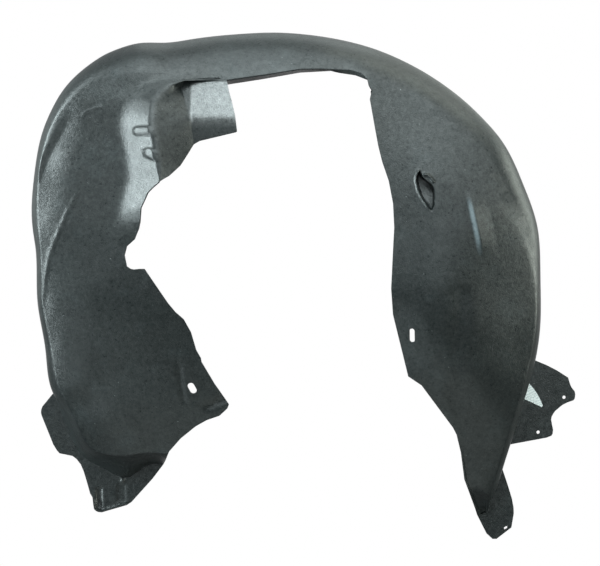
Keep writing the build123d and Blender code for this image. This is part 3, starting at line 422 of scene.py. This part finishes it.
def section(k, va, vb, vc, vf, vd, fillet):
    """Rows of (p, q, y) for stations k: tread, shoulder, wall, rim fillet, return face."""
    a3, b3, _ = near_skin(k, va, vb, vc)
    k = np.asarray(k, float)[:, None]
    wp, wq = shoulder.at(k)
    op, oq = rim.at(k)
    # wall, then the return face beyond the rim
    tc = np.asarray(vc, float)[None, :]
    ep, eq = back.at(k)
    fine = np.linspace(0, 1, 161)[None, :]
    pc, qc = wall_line(k, wp, wq, op, oq, fine)
    yc = wall(pc, qc)
    yo = yc[:, -1:]
    ye = back_depth(k, ep, eq)
    e = np.array(LOW_POCKET, float)
    s = np.concatenate([[0], np.cumsum(np.hypot(*np.diff(e, axis=0).T))])
    lp, lq = np.interp(fine, s / s[-1], e[:, 0]), np.interp(fine, s / s[-1], e[:, 1])
    w = np.clip(1 - (k - K_POCKET[0]) / 0.9, 0, 1) ** 2
    pd = op + (ep - op) * fine + w * (lp - e[0, 0] - (e[-1, 0] - e[0, 0]) * fine)
    qd = oq + (eq - oq) * fine + w * (lq - e[0, 1] - (e[-1, 1] - e[0, 1]) * fine)
    yd = yo + (ye - yo) * fine
    turn = fillet * TURN(k) + 0.02
    rows_c, rows_f, rows_d = [], [], []
    for i in range(len(k)):
        c3 = np.stack([pc[i], qc[i], yc[i]], -1)
        d3 = np.stack([pd[i], qd[i], yd[i]], -1)
        cm = np.concatenate([[0], np.cumsum(np.linalg.norm(np.diff(place(*c3.T), axis=0), axis=1))])
        dm = np.concatenate([[0], np.cumsum(np.linalg.norm(np.diff(place(*d3.T), axis=0), axis=1))])
        r = min(turn[i, 0], 0.7 * cm[-1], 0.45 * dm[-1])
        def pick(m, a3, s):
            return np.stack([np.interp(s, m, a3[:, j]) for j in range(3)], -1)
        p0, p2 = pick(cm, c3, cm[-1] - r), pick(dm, d3, r)
        rows_c.append(pick(cm, c3, (cm[-1] - r) * tc[0]))
        tf = np.asarray(vf, float)[:, None]
        rows_f.append((1 - tf) ** 2 * p0 + 2 * tf * (1 - tf) * c3[-1] + tf ** 2 * p2)
        rows_d.append(pick(dm, d3, r + (dm[-1] - r) * np.asarray(vd, float)))
    return a3, b3, np.array(rows_c), np.array(rows_f), np.array(rows_d)


# ---------------------------------------------------------------- outlines and small forms
def inside(poly, p, q):
    """Even-odd test of layout points against an outline."""
    poly = np.array(poly, float)
    hit = np.zeros(np.shape(p), bool)
    for (ap, aq), (bp, bq) in zip(poly, np.roll(poly, -1, 0)):
        if aq == bq:
            continue
        cross = ((aq > q) != (bq > q)) & (p < (bp - ap) * (q - aq) / (bq - aq) + ap)
        hit ^= cross
    return hit


def stadium(p, q, length, width, ux, uq, n=10):
    """Layout outline of a round-ended slot along the direction (ux, uq)."""
    m = math.hypot(ux, uq)
    ux, uq = ux / m, uq / m
    r, h = width / 2, (length - width) / 2
    base = math.atan2(uq, ux)
    out = []
    for sign, start in ((1, -math.pi / 2), (-1, math.pi / 2)):
        for i in range(n + 1):
            a = base + start + math.pi * i / n
            out.append((p + sign * h * ux + r * math.cos(a), q + sign * h * uq + r * math.sin(a)))
    return out


SLOT = stadium(412.0, 335.6, 14.0, 5.2, 0.02, 1.0)
OBLONG = stadium(192.1, 388.4, 11.6, 6.9, 0.50, 0.87)
SCREW_HOLES = [(564.1, 397.3), (538.2, 432.2)]
SCREW_R = 2.5          # mm
TOE_HOLE = [(504.0, 527.2), (507.4, 525.8), (507.2, 528.2), (504.2, 529.6)]
PANS = [([(95.2, 487.1), (102.8, 486.8), (103.2, 507.4), (96.2, 506.6)], 2.6),
        ([(116.4, 483.8), (126.2, 483.0), (126.6, 502.2), (116.0, 503.4)], 1.4)]
FOOT_RIM = [(93.6, 502.5), (94.6, 508.0), (96.4, 510.0), (98.8, 511.0), (101.5, 511.2), (114, 507.6), (126.3, 504.0)]
RIM_H = 4.0            # mm
BUMP = (122.6, 480.6)
LABEL_T = 0.3          # mm
FOOT_EDGE = [
    (152.7, 478.5), (131.5, 501.9), (126.5, 504.7), (101.5, 511.9), (98.4, 511.6), (96.2, 510.5), (94.6, 508.6), (93.8, 504), (92.6, 497.5),
    (90.1, 493.5), (86.9, 482.0), (83.7, 471.5), (80.8, 464.5), (76.5, 459.0), (72.5, 456.0), (59.5, 453.3), (57.0, 450.5), (53.3, 444.5),
    (41.6, 415.5), (41.0, 413.0), (41.1, 410), (42.3, 406.5), (52.6, 393.9)]
REAR_EDGE = [
    (535.6, 360.5), (546.5, 365.0), (556.5, 370.1), (568.1, 377.5), (570.2, 384.3), (571.5, 387.3), (574.8, 391.5), (575.3, 394.5),
    (574.8, 398.5), (573.5, 400.3), (567.5, 402.4), (562.5, 404.9), (558.5, 408.2), (555.3, 410.9), (553.4, 413.5), (551.6, 416.9), (551.2, 419.5), (552.0, 424.5),
    (553.1, 429.5), (552.7, 433.5), (551.5, 435.7), (546.5, 437.7), (510.5, 444.4), (503.5, 445.7)]
TOE_EDGE = [(502.6, 469.5), (507.5, 484.0), (511.9, 498.5), (513.6, 507.5), (513.8, 513.5), (511.4, 527.5), (496.5, 538.9), (492.5, 538.9),
            (486.5, 533.4)]
TAB_EDGE = [(226.6, 78.8), (227.6, 84.8), (228.6, 90.0), (231.4, 100.0), (234.8, 114.5), (236.7, 129.5), (236.7, 131.5), (235.5, 132.4),
            (199.5, 141.1)]
LABEL = [(524, 378), (530.2, 384.7), (533.8, 388.8), (536.5, 392.7), (540.3, 399.5), (542.8, 405.6), (541.8, 407), (525.4, 399.5), (515.8, 395.1), (519.5, 380)]


def foot_form(p, q):
    """Forms in the foot flange, mm toward the back: two recesses, a rolled edge and a bump."""
    h = np.zeros(np.shape(p))
    for outline, deep in PANS:
        e, _, _ = near(p, q, outline + outline[:1])
        h = h + np.where(inside(outline, p, q), deep * step(0, 1.6, e), 0)
    e, _, _ = near(p, q, FOOT_RIM)
    h = h - RIM_H * (1 - step(0.3, 2.2, e))
    r = np.hypot(p - BUMP[0], q - BUMP[1])
    return h - 3.0 * (1 - step(0.5, 3.0, r))


# ---------------------------------------------------------------- mesh of the sheet
ORIGIN = np.array([372.0369, 220.0, -195.1657])   # mm, the row frame's origin in the layout frame
# blocks of the wall laid again in finer triangles: hole, lower and upper corner, spacing
BLOCKS = [(SLOT, (407.4, 326.6), (416.6, 344.6), 1.6), (OBLONG, (184.5, 380.5), (199.7, 396.3), 1.6),
          (None, (412, 164), (441, 219), 0.75), (None, (454, 184), (487, 258), 1.25)]


def metres(p, q, y):
    return (place(np.asarray(p, float), np.asarray(q, float), np.asarray(y, float)) - ORIGIN) / 1000.0


def filled(outer, holes, gap, extra=()):
    """Triangles over an outline with holes: points (p, q) and index triples."""
    loops = [list(outer)] + [list(h) for h in holes]
    pts, edges = [], []
    for loop in loops:
        n0 = len(pts)
        pts += [(float(a), float(b)) for a, b in loop]
        edges += [(n0 + i, n0 + (i + 1) % len(loop)) for i in range(len(loop))]
    o = np.array(outer, float)
    lo, hi = o.min(0), o.max(0)
    gp, gq = np.meshgrid(np.arange(lo[0], hi[0], gap), np.arange(lo[1], hi[1], gap))
    gp[1::2] += gap / 2
    gp, gq = gp.ravel(), gq.ravel()
    ok = inside(outer, gp, gq)
    for loop in loops:
        e, _, _ = near(gp, gq, list(loop) + [loop[0]])
        ok &= e > 0.55 * gap
    for h in holes:
        ok &= ~inside(h, gp, gq)
    pts += list(zip(gp[ok], gq[ok]))
    pts += [(float(a), float(b)) for a, b in extra]
    res = delaunay_2d_cdt([Vector(v) for v in pts], edges, [], 1, 1e-5)
    v = np.array([(w.x, w.y) for w in res[0]])
    f = np.array([t for t in res[2] if len(t) == 3])
    c = v[f].mean(1)
    ok = inside(outer, c[:, 0], c[:, 1])
    for h in holes:
        ok &= ~inside(h, c[:, 0], c[:, 1])
    return v, f[ok]


class Soup:
    """Vertices and faces gathered piece by piece, welded at the end."""

    def __init__(self):
        self.v, self.f = [], []

    def add(self, verts, faces):
        n = sum(len(a) for a in self.v)
        self.v.append(np.asarray(verts, float))
        self.f += [tuple(int(i) + n for i in face) for face in faces]


def station_list():
    """Stations, closer together where the sheet has small forms, with one at every corner of the rim."""
    dense = curve([(0, 12), (2, 12), (4, 14), (6, 18), (6.6, 24), (9.4, 26), (10, 16), (12.6, 12), (13.4, 16), (15.6, 16),
                   (16.2, 24), (17.9, 24), (18.6, 16), (22, 14), (24, 18), (25, 20)])
    fine = np.linspace(0, 25, 5001)
    cum = np.concatenate([[0], np.cumsum(0.5 * (dense(fine[1:]) + dense(fine[:-1])) * np.diff(fine))])
    k = np.interp(np.linspace(0, cum[-1], int(cum[-1]) + 1), cum, fine)
    s = hermite(rim.k, rim.ks, rim.km, fine)
    corner = np.concatenate([np.interp(rim.s, s, fine), [K_POCKET[0], K_POCKET[1], 4.0, K_REAR[0], K_REAR[1], K_TOE]])
    for c in corner:
        k[np.argmin(np.abs(k - c))] = c
    return np.unique(np.round(k, 6))


def sheet_front():
    """The front side of the whole liner as one welded sheet."""
    soup = Soup()
    k = station_list()
    run = np.linspace
    a, b, c, f, d = section(k, run(0, 1, 7)[:-1], run(0, 1, 15)[:-1], run(0, 1, 68), run(0, 1, 9)[1:], run(0, 1, 11)[1:], 10.0)
    grid = np.concatenate([a, b, c, f, d], 1)
    n_wall = a.shape[1] + b.shape[1] + c.shape[1]
    ni, nj = grid.shape[:2]
    cells = np.ones((ni - 1, nj - 1), bool)
    mid = 0.5 * (k[:-1] + k[1:])
    in_pocket = (mid > K_POCKET[0]) & (mid < K_POCKET[1])
    cells[~in_pocket, n_wall - 1:] = False
    # holes through the wall: a block of cells is laid again around each
    patches = []
    for hole, lo, hi, gap in BLOCKS:
        cp = np.stack([grid[:-1, :-1], grid[1:, :-1], grid[:-1, 1:], grid[1:, 1:]])
        over = (cp[..., 0].max(0) > lo[0]) & (cp[..., 0].min(0) < hi[0]) & (cp[..., 1].max(0) > lo[1]) & (cp[..., 1].min(0) < hi[1])
        over[:, : a.shape[1] + b.shape[1]] = False
        over &= cells
        ii, jj = np.where(over)
        i0, i1, j0, j1 = ii.min(), ii.max() + 1, jj.min(), jj.max() + 1
        cells[i0:i1, j0:j1] = False
        ring = [(i, j0) for i in range(i0, i1)] + [(i1, j) for j in range(j0, j1)]
        ring += [(i, j1) for i in range(i1, i0, -1)] + [(i0, j) for j in range(j1, j0, -1)]
        outer = [tuple(grid[i, j, :2]) for i, j in ring]
        v, t = filled(outer, [hole] if hole else [], gap)
        patches.append((v, t))
    ii, jj = np.where(cells)
    index = np.arange(ni * nj).reshape(ni, nj)
    quads = np.stack([index[ii, jj], index[ii + 1, jj], index[ii + 1, jj + 1], index[ii, jj + 1]], -1)
    soup.add(metres(grid[..., 0].ravel(), grid[..., 1].ravel(), grid[..., 2].ravel()), quads)
    for v, t in patches:
        soup.add(metres(v[:, 0], v[:, 1], wall(v[:, 0], v[:, 1])), t)
    # tab at the back of the strut pocket
    pk = (k >= K_POCKET[0]) & (k <= K_TAB + 1e-9)
    edge = [tuple(x) for x in grid[pk, -1, :2]]
    v, t = filled(edge + TAB_EDGE, [], 2.0)
    soup.add(metres(v[:, 0], v[:, 1], tab_depth(v[:, 0], v[:, 1])), t)
    # flanges
    rows = {name: [tuple(x) for x in grid[(k >= lo - 1e-9) & (k <= hi + 1e-9), 0, :2]][::-1]
            for name, lo, hi in (("foot", 0, 4.0), ("rear", *K_REAR), ("toe", K_TOE, 25))}
    v, t = filled(FOOT_EDGE + rows["foot"], [], 1.5)
    soup.add(metres(v[:, 0], v[:, 1], Y_ROOT + foot_form(v[:, 0], v[:, 1])), t)
    screws = [ring_at(p, q, SCREW_R / 1.4806, 20) for p, q in SCREW_HOLES]
    v, t = filled(REAR_EDGE + rows["rear"], screws, 3.0)
    soup.add(metres(v[:, 0], v[:, 1], Y_ROOT + 0 * v[:, 0]), t)
    last = [tuple(x) for x in grid[-1, :n_wall, :2]][::-1]
    v, t = filled(TOE_EDGE + last + rows["toe"], [TOE_HOLE], 2.0)
    soup.add(metres(v[:, 0], v[:, 1], Y_ROOT + 0 * v[:, 0]), t)
    return soup


def ring_at(p, q, r, n):
    return [(p + r * math.cos(2 * math.pi * i / n), q + r * math.sin(2 * math.pi * i / n)) for i in range(n)]


def thicken(soup, name, thick):
    """Welds the gathered front side, lays the rear side one thickness behind it and closes the edges."""
    bm = bmesh.new()
    verts = [bm.verts.new(v) for v in np.concatenate(soup.v)]
    for f in soup.f:
        if len(set(f)) > 2:
            try:
                bm.faces.new([verts[i] for i in f])
            except ValueError:
                pass
    bmesh.ops.remove_doubles(bm, verts=bm.verts, dist=0.00008)
    bmesh.ops.dissolve_degenerate(bm, edges=bm.edges, dist=0.00004)
    bmesh.ops.delete(bm, geom=[v for v in bm.verts if not v.link_faces], context="VERTS")
    bmesh.ops.recalc_face_normals(bm, faces=bm.faces)
    bm.normal_update()
    if sum(f.normal.y * f.calc_area() for f in bm.faces) > 0:
        bmesh.ops.reverse_faces(bm, faces=bm.faces)
    bm.normal_update()
    bm.verts.index_update()
    co = np.array([v.co for v in bm.verts])
    no = np.array([v.normal for v in bm.verts])
    edge = np.array([[e.verts[0].index, e.verts[1].index] for e in bm.edges])
    count = np.bincount(edge.ravel(), minlength=len(co))[:, None]
    for _ in range(6):
        s = np.zeros_like(no)
        np.add.at(s, edge[:, 0], no[edge[:, 1]])
        np.add.at(s, edge[:, 1], no[edge[:, 0]])
        no = 0.5 * no + 0.5 * s / np.maximum(count, 1)
        no /= np.maximum(np.linalg.norm(no, axis=1, keepdims=True), 1e-9)
    front = [[v.index for v in f.verts] for f in bm.faces]
    border = []
    for e in bm.edges:
        if len(e.link_faces) == 1:
            loop = e.link_loops[0]
            border.append((loop.vert.index, loop.link_loop_next.vert.index))
    bm.free()
    n = len(co)
    faces = front + [[i + n for i in reversed(f)] for f in front] + [[b, a, a + n, b + n] for a, b in border]
    mesh = bpy.data.meshes.new(name)
    mesh.from_pydata(np.concatenate([co, co - thick / 1000.0 * no]).tolist(), [], faces)
    mesh.update()
    return mesh


def shade(mesh, angle):
    """Smooth faces, with sharp edges where the faces turn by more than the angle."""
    bm = bmesh.new()
    bm.from_mesh(mesh)
    for f in bm.faces:
        f.smooth = True
    for e in bm.edges:
        e.smooth = not (len(e.link_faces) == 2 and e.calc_face_angle(0) > angle)
    bm.to_mesh(mesh)
    bm.free()
    mesh.update()


def put(mesh, material):
    obj = bpy.data.objects.new(mesh.name, mesh)
    bpy.context.scene.collection.objects.link(obj)
    mesh.materials.append(material)
    return obj


# ---------------------------------------------------------------- materials
class Nodes:
    """A small helper for building a material's nodes."""

    def __init__(self, name):
        self.mat = bpy.data.materials.new(name)
        self.mat.use_nodes = True
        self.tree = self.mat.node_tree
        self.shader = self.tree.nodes["Principled BSDF"]

    def add(self, kind, **values):
        node = self.tree.nodes.new(kind)
        for key, value in values.items():
            if key in node.inputs:
                node.inputs[key].default_value = value
            else:
                setattr(node, key, value)
        return node

    def link(self, a, b):
        self.tree.links.new(a, b)

    def noise(self, coord, scale, detail=2.0, rough=0.5):
        n = self.add("ShaderNodeTexNoise", Scale=scale, Detail=detail, Roughness=rough)
        self.link(coord, n.inputs["Vector"])
        return n.outputs["Fac"]

    def ramp(self, value, stops):
        r = self.add("ShaderNodeValToRGB")
        e = r.color_ramp.elements
        e[0].position, e[0].color = stops[0][0], (*stops[0][1], 1)
        e[1].position, e[1].color = stops[-1][0], (*stops[-1][1], 1)
        for pos, col in stops[1:-1]:
            x = e.new(pos)
            x.color = (*col, 1)
        self.link(value, r.inputs["Fac"])
        return r.outputs["Color"]

    def mix(self, fac, a, b):
        m = self.add("ShaderNodeMix", data_type="RGBA")
        for value, socket in ((fac, m.inputs[0]), (a, m.inputs[6]), (b, m.inputs[7])):
            if isinstance(value, bpy.types.NodeSocket):
                self.link(value, socket)
            elif isinstance(value, tuple):
                socket.default_value = (*value, 1)
            else:
                socket.default_value = value
        return m.outputs[2]

    def math(self, op, a, b=0.0):
        m = self.add("ShaderNodeMath", operation=op)
        for value, socket in ((a, m.inputs[0]), (b, m.inputs[1])):
            if isinstance(value, bpy.types.NodeSocket):
                self.link(value, socket)
            else:
                socket.default_value = value
        return m.outputs[0]


def plastic():
    """Grained black sheet with a soft sheen, faint clouds of dust, fine rubs and a painted highlight along the rear
    leg's crease.
    """
    n = Nodes("sheet_plastic")
    coord = n.add("ShaderNodeTexCoord").outputs["Object"]
    cloud = n.noise(coord, 14.0, 4.0, 0.6)
    fine = n.noise(coord, 620.0, 2.0, 0.6)
    mottle = n.noise(coord, 230.0, 4.0, 0.65)
    base = n.ramp(cloud, [(0.3, (0.0092, 0.0115, 0.0117)), (0.7, (0.014, 0.0172, 0.0174))])
    rub = n.ramp(n.noise(coord, 420.0, 5.0, 0.75), [(0.58, (0, 0, 0)), (0.8, (1, 1, 1))])
    where = n.ramp(n.noise(coord, 9.0, 3.0, 0.55), [(0.5, (0, 0, 0)), (0.75, (1, 1, 1))])
    dust = n.math("MULTIPLY", n.math("MULTIPLY", rub, where), 0.28)
    base = n.mix(dust, base, (0.19, 0.21, 0.21))
    stain = n.ramp(n.noise(coord, 26.0, 5.0, 0.62), [(0.54, (0, 0, 0)), (0.74, (1, 1, 1))])
    base = n.mix(n.math("MULTIPLY", n.math("MULTIPLY", stain, mottle), 0.13), base, (0.13, 0.16, 0.17))
    speck = n.ramp(n.noise(coord, 330.0, 1.0, 0.5), [(0.80, (0, 0, 0)), (0.825, (1, 1, 1))])
    base = n.mix(n.math("MULTIPLY", speck, 0.55), base, (0.45, 0.48, 0.48))
    # painted highlight: a pale line of colour runs along the short crease of the rear leg, standing in for the crease's
    # glint
    at = n.add("ShaderNodeSeparateXYZ")
    n.link(coord, at.inputs["Vector"])
    across = n.math("ADD", n.math("ADD", n.math("MULTIPLY", at.outputs["X"], 0.978), n.math("MULTIPLY", at.outputs["Z"], 0.2057)), 0.08007)
    along = n.math("ADD", n.math("ADD", n.math("MULTIPLY", at.outputs["X"], 0.2057), n.math("MULTIPLY", at.outputs["Z"], -0.978)), 0.33067)
    line = None
    for value, low, high, start, end in ((n.math("ABSOLUTE", across), 0.0012, 0.0042, 1.0, 0.0), (along, -0.004, 0.016, 0.0, 1.0), (along, 0.050, 0.078, 1.0, 0.0)):
        band = n.add("ShaderNodeMapRange")
        for key, number in (("From Min", low), ("From Max", high), ("To Min", start), ("To Max", end)):
            band.inputs[key].default_value = number
        n.link(value, band.inputs["Value"])
        line = band.outputs["Result"] if line is None else n.math("MULTIPLY", line, band.outputs["Result"])
    # the painted highlight: pale colour mixed into the base along the crease
    base = n.mix(n.math("MULTIPLY", line, n.math("ADD", mottle, 0.25)), base, (0.16, 0.195, 0.21))
    n.link(base, n.shader.inputs["Base Color"])
    # the drawn tab is glossier than the rest
    gloss = None
    for axis, low, high, start, end in (("X", -0.5225, -0.5195, 0.0, 1.0), ("X", -0.452, -0.449, 1.0, 0.0), ("Z", 0.404, 0.420, 0.0, 1.0), ("Z", 0.4685, 0.4705, 1.0, 0.0)):
        band = n.add("ShaderNodeMapRange")
        for key, value in (("From Min", low), ("From Max", high), ("To Min", start), ("To Max", end)):
            band.inputs[key].default_value = value
        n.link(at.outputs[axis], band.inputs["Value"])
        gloss = band.outputs["Result"] if gloss is None else n.math("MULTIPLY", gloss, band.outputs["Result"])
    shine = n.ramp(gloss, [(0.0, (0.5, 0.5, 0.5)), (1.0, (1.0, 1.0, 1.0))])
    # the moulded grain breaks up the sheen
    blotch = n.noise(coord, 125.0, 3.0, 0.6)
    grain = n.math("ADD", n.math("MULTIPLY", fine, 0.9), n.math("ADD", n.math("MULTIPLY", mottle, 1.2), n.math("MULTIPLY", blotch, 1.0)))
    n.link(n.math("MULTIPLY", shine, n.math("SUBTRACT", grain, 0.55)), n.shader.inputs["Specular IOR Level"])
    n.link(n.math("ADD", n.math("MULTIPLY", gloss, 0.22), 1.5), n.shader.inputs["IOR"])
    rough = n.ramp(mottle, [(0.3, (0.26, 0.26, 0.26)), (0.7, (0.40, 0.40, 0.40))])
    n.link(rough, n.shader.inputs["Roughness"])
    h = n.math("ADD", n.math("MULTIPLY", fine, 0.6), n.math("MULTIPLY", mottle, 0.5))
    bump = n.add("ShaderNodeBump", Strength=0.42, Distance=0.0011)
    n.link(h, bump.inputs["Height"])
    n.link(bump.outputs["Normal"], n.shader.inputs["Normal"])
    return n.mat


def film():
    """White film with a pale field and faint slanting bars."""
    n = Nodes("label_film")
    coord = n.add("ShaderNodeTexCoord").outputs["Object"]
    turn = n.add("ShaderNodeMapping")
    turn.inputs["Rotation"].default_value = (0, math.radians(25), 0)
    n.link(coord, turn.inputs["Vector"])
    wave = n.add("ShaderNodeTexWave", bands_direction="Z", Scale=85.0, Distortion=0.6, Detail=1.0)
    n.link(turn.outputs["Vector"], wave.inputs["Vector"])
    bars = n.ramp(wave.outputs["Fac"], [(0.55, (0.78, 0.82, 0.83)), (0.75, (0.62, 0.68, 0.70))])
    n.link(bars, n.shader.inputs["Base Color"])
    n.shader.inputs["Roughness"].default_value = 0.45
    return n.mat


# ---------------------------------------------------------------- pieces
mesh = thicken(sheet_front(), "liner_sheet", T)
shade(mesh, math.radians(38))
liner = put(mesh, plastic())
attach(liner, "root")
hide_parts("wheel_arch_liner")

patch = Soup()
lv, lt = filled(LABEL, [], 3.0)
patch.add(metres(lv[:, 0], lv[:, 1], Y_ROOT - LABEL_T + 0 * lv[:, 0]), lt)
mesh = thicken(patch, "blank_label", LABEL_T)
shade(mesh, math.radians(38))
label = put(mesh, film())
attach(label, "root")
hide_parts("label")


# ---------------------------------------------------------------- floor, light and camera
def area(name, at, target, size, power, colour):
    lamp = bpy.data.lights.new(name, "AREA")
    lamp.shape = "RECTANGLE"
    lamp.size, lamp.size_y = size
    lamp.energy = power
    lamp.color = colour
    obj = bpy.data.objects.new(name, lamp)
    bpy.context.scene.collection.objects.link(obj)
    obj.location = at
    obj.rotation_mode = "QUATERNION"
    obj.rotation_quaternion = (Vector(target) - Vector(at)).to_track_quat("-Z", "Y")
    return obj


MIDDLE = (-0.37, -0.10, 0.18)
# soft boxes around the object: turn from the camera side (right is +), height, edge in m, radiance, tint
COOL, PLAIN, WARM = (0.85, 0.985, 1.0), (0.88, 0.99, 0.97), (0.91, 1.0, 0.90)
BOXES = [(-5, 44, 1.2, 3.2, COOL), (-3, 55, 0.6, 2.25, COOL), (0, 74, 1.2, 2.3, COOL), (-29, 50, 0.6, 5.5, COOL), (35, 45, 1.5, 2.0, PLAIN),
         (98, 64, 1.3, 1.95, WARM), (108, 16, 1.3, 2.9, WARM), (58, -10, 0.9, 0.8, WARM), (82, -6, 0.9, 9.3, WARM), (50, 12, 0.6, 6.9, WARM),
         (77, 6, 0.55, 4.3, WARM), (140, 40, 1.5, 0.5, WARM), (11, 7, 0.9, 2.5, COOL), (-17, 3, 0.6, 2.2, COOL), (-60, 72, 0.9, 1.55, COOL),
         (-76, -16, 0.65, 14.7, COOL), (-76, 9, 0.65, 24.0, COOL), (-76, 27, 0.65, 22.5, COOL), (-78, 45, 0.6, 7.1, COOL), (-42, 3, 1.2, 0.96, COOL),
         (-112, 12, 1.5, 0.55, PLAIN), (180, 55, 1.2, 0.63, PLAIN), (-42, -33, 0.7, 2.2, COOL)]
FAR = 2.2              # m
for turn, height, edge, bright, tint in BOXES:
    a, e = math.radians(turn), math.radians(height)
    at = Vector(MIDDLE) + FAR * Vector((math.sin(a) * math.cos(e), -math.cos(a) * math.cos(e), math.sin(e)))
    area("box_%d_%d" % (turn, height), at, MIDDLE, (edge, edge), math.pi * edge * edge * bright, tint)

bpy.ops.mesh.primitive_circle_add(vertices=64, radius=1.0, fill_type="NGON", location=(-0.37, -0.90, -1.25))
floor = bpy.context.object
floor.name = "floor"
n = Nodes("floor_pale")
grain = n.noise(n.add("ShaderNodeTexCoord").outputs["Object"], 3.0, 2.0)
n.link(n.ramp(grain, [(0.3, (0.41, 0.41, 0.40)), (0.7, (0.44, 0.44, 0.43))]), n.shader.inputs["Base Color"])
n.shader.inputs["Roughness"].default_value = 0.8
floor.data.materials.append(n.mat)

world = bpy.data.worlds.new("studio")
bpy.context.scene.world = world
world.use_nodes = True
tree = world.node_tree
back = tree.nodes["Background"]
coord = tree.nodes.new("ShaderNodeTexCoord")
split = tree.nodes.new("ShaderNodeSeparateXYZ")
tree.links.new(coord.outputs["Generated"], split.inputs["Vector"])
glow = tree.nodes.new("ShaderNodeValToRGB")
e = glow.color_ramp.elements
e[0].position, e[0].color = 0.90, (0.0, 0.0, 0.0, 1)
e[1].position, e[1].color = 0.945, (1.0, 1.0, 1.0, 1)
tree.links.new(split.outputs["Y"], glow.inputs["Fac"])
lift = tree.nodes.new("ShaderNodeMapRange")
lift.inputs["From Min"].default_value, lift.inputs["From Max"].default_value = -1.0, 1.0
tree.links.new(split.outputs["Z"], lift.inputs["Value"])
room = tree.nodes.new("ShaderNodeValToRGB")
e = room.color_ramp.elements
e[0].position, e[0].color = 0.35, (0.10, 0.105, 0.105, 1)
e[1].position, e[1].color = 0.55, (0.30, 0.31, 0.31, 1)
tree.links.new(lift.outputs["Result"], room.inputs["Fac"])
both = tree.nodes.new("ShaderNodeMix")
both.data_type, both.blend_type = "RGBA", "LIGHTEN"
both.inputs[0].default_value = 1.0
tree.links.new(room.outputs["Color"], both.inputs[6])
tree.links.new(glow.outputs["Color"], both.inputs[7])
tree.links.new(both.outputs[2], back.inputs["Color"])
back.inputs["Strength"].default_value = 1.0

cam_data = bpy.data.cameras.new("camera")
cam_data.sensor_width = 36.0
cam_data.lens = 36.0 * 1800.0 / 792.0
cam = bpy.data.objects.new("camera", cam_data)
bpy.context.scene.collection.objects.link(cam)
cam.location = (-0.37204, -2.020, 0.19517)
cam.rotation_euler = (math.radians(90), 0, 0)
bpy.context.scene.camera = cam
bpy.context.scene.view_settings.view_transform = "Standard"
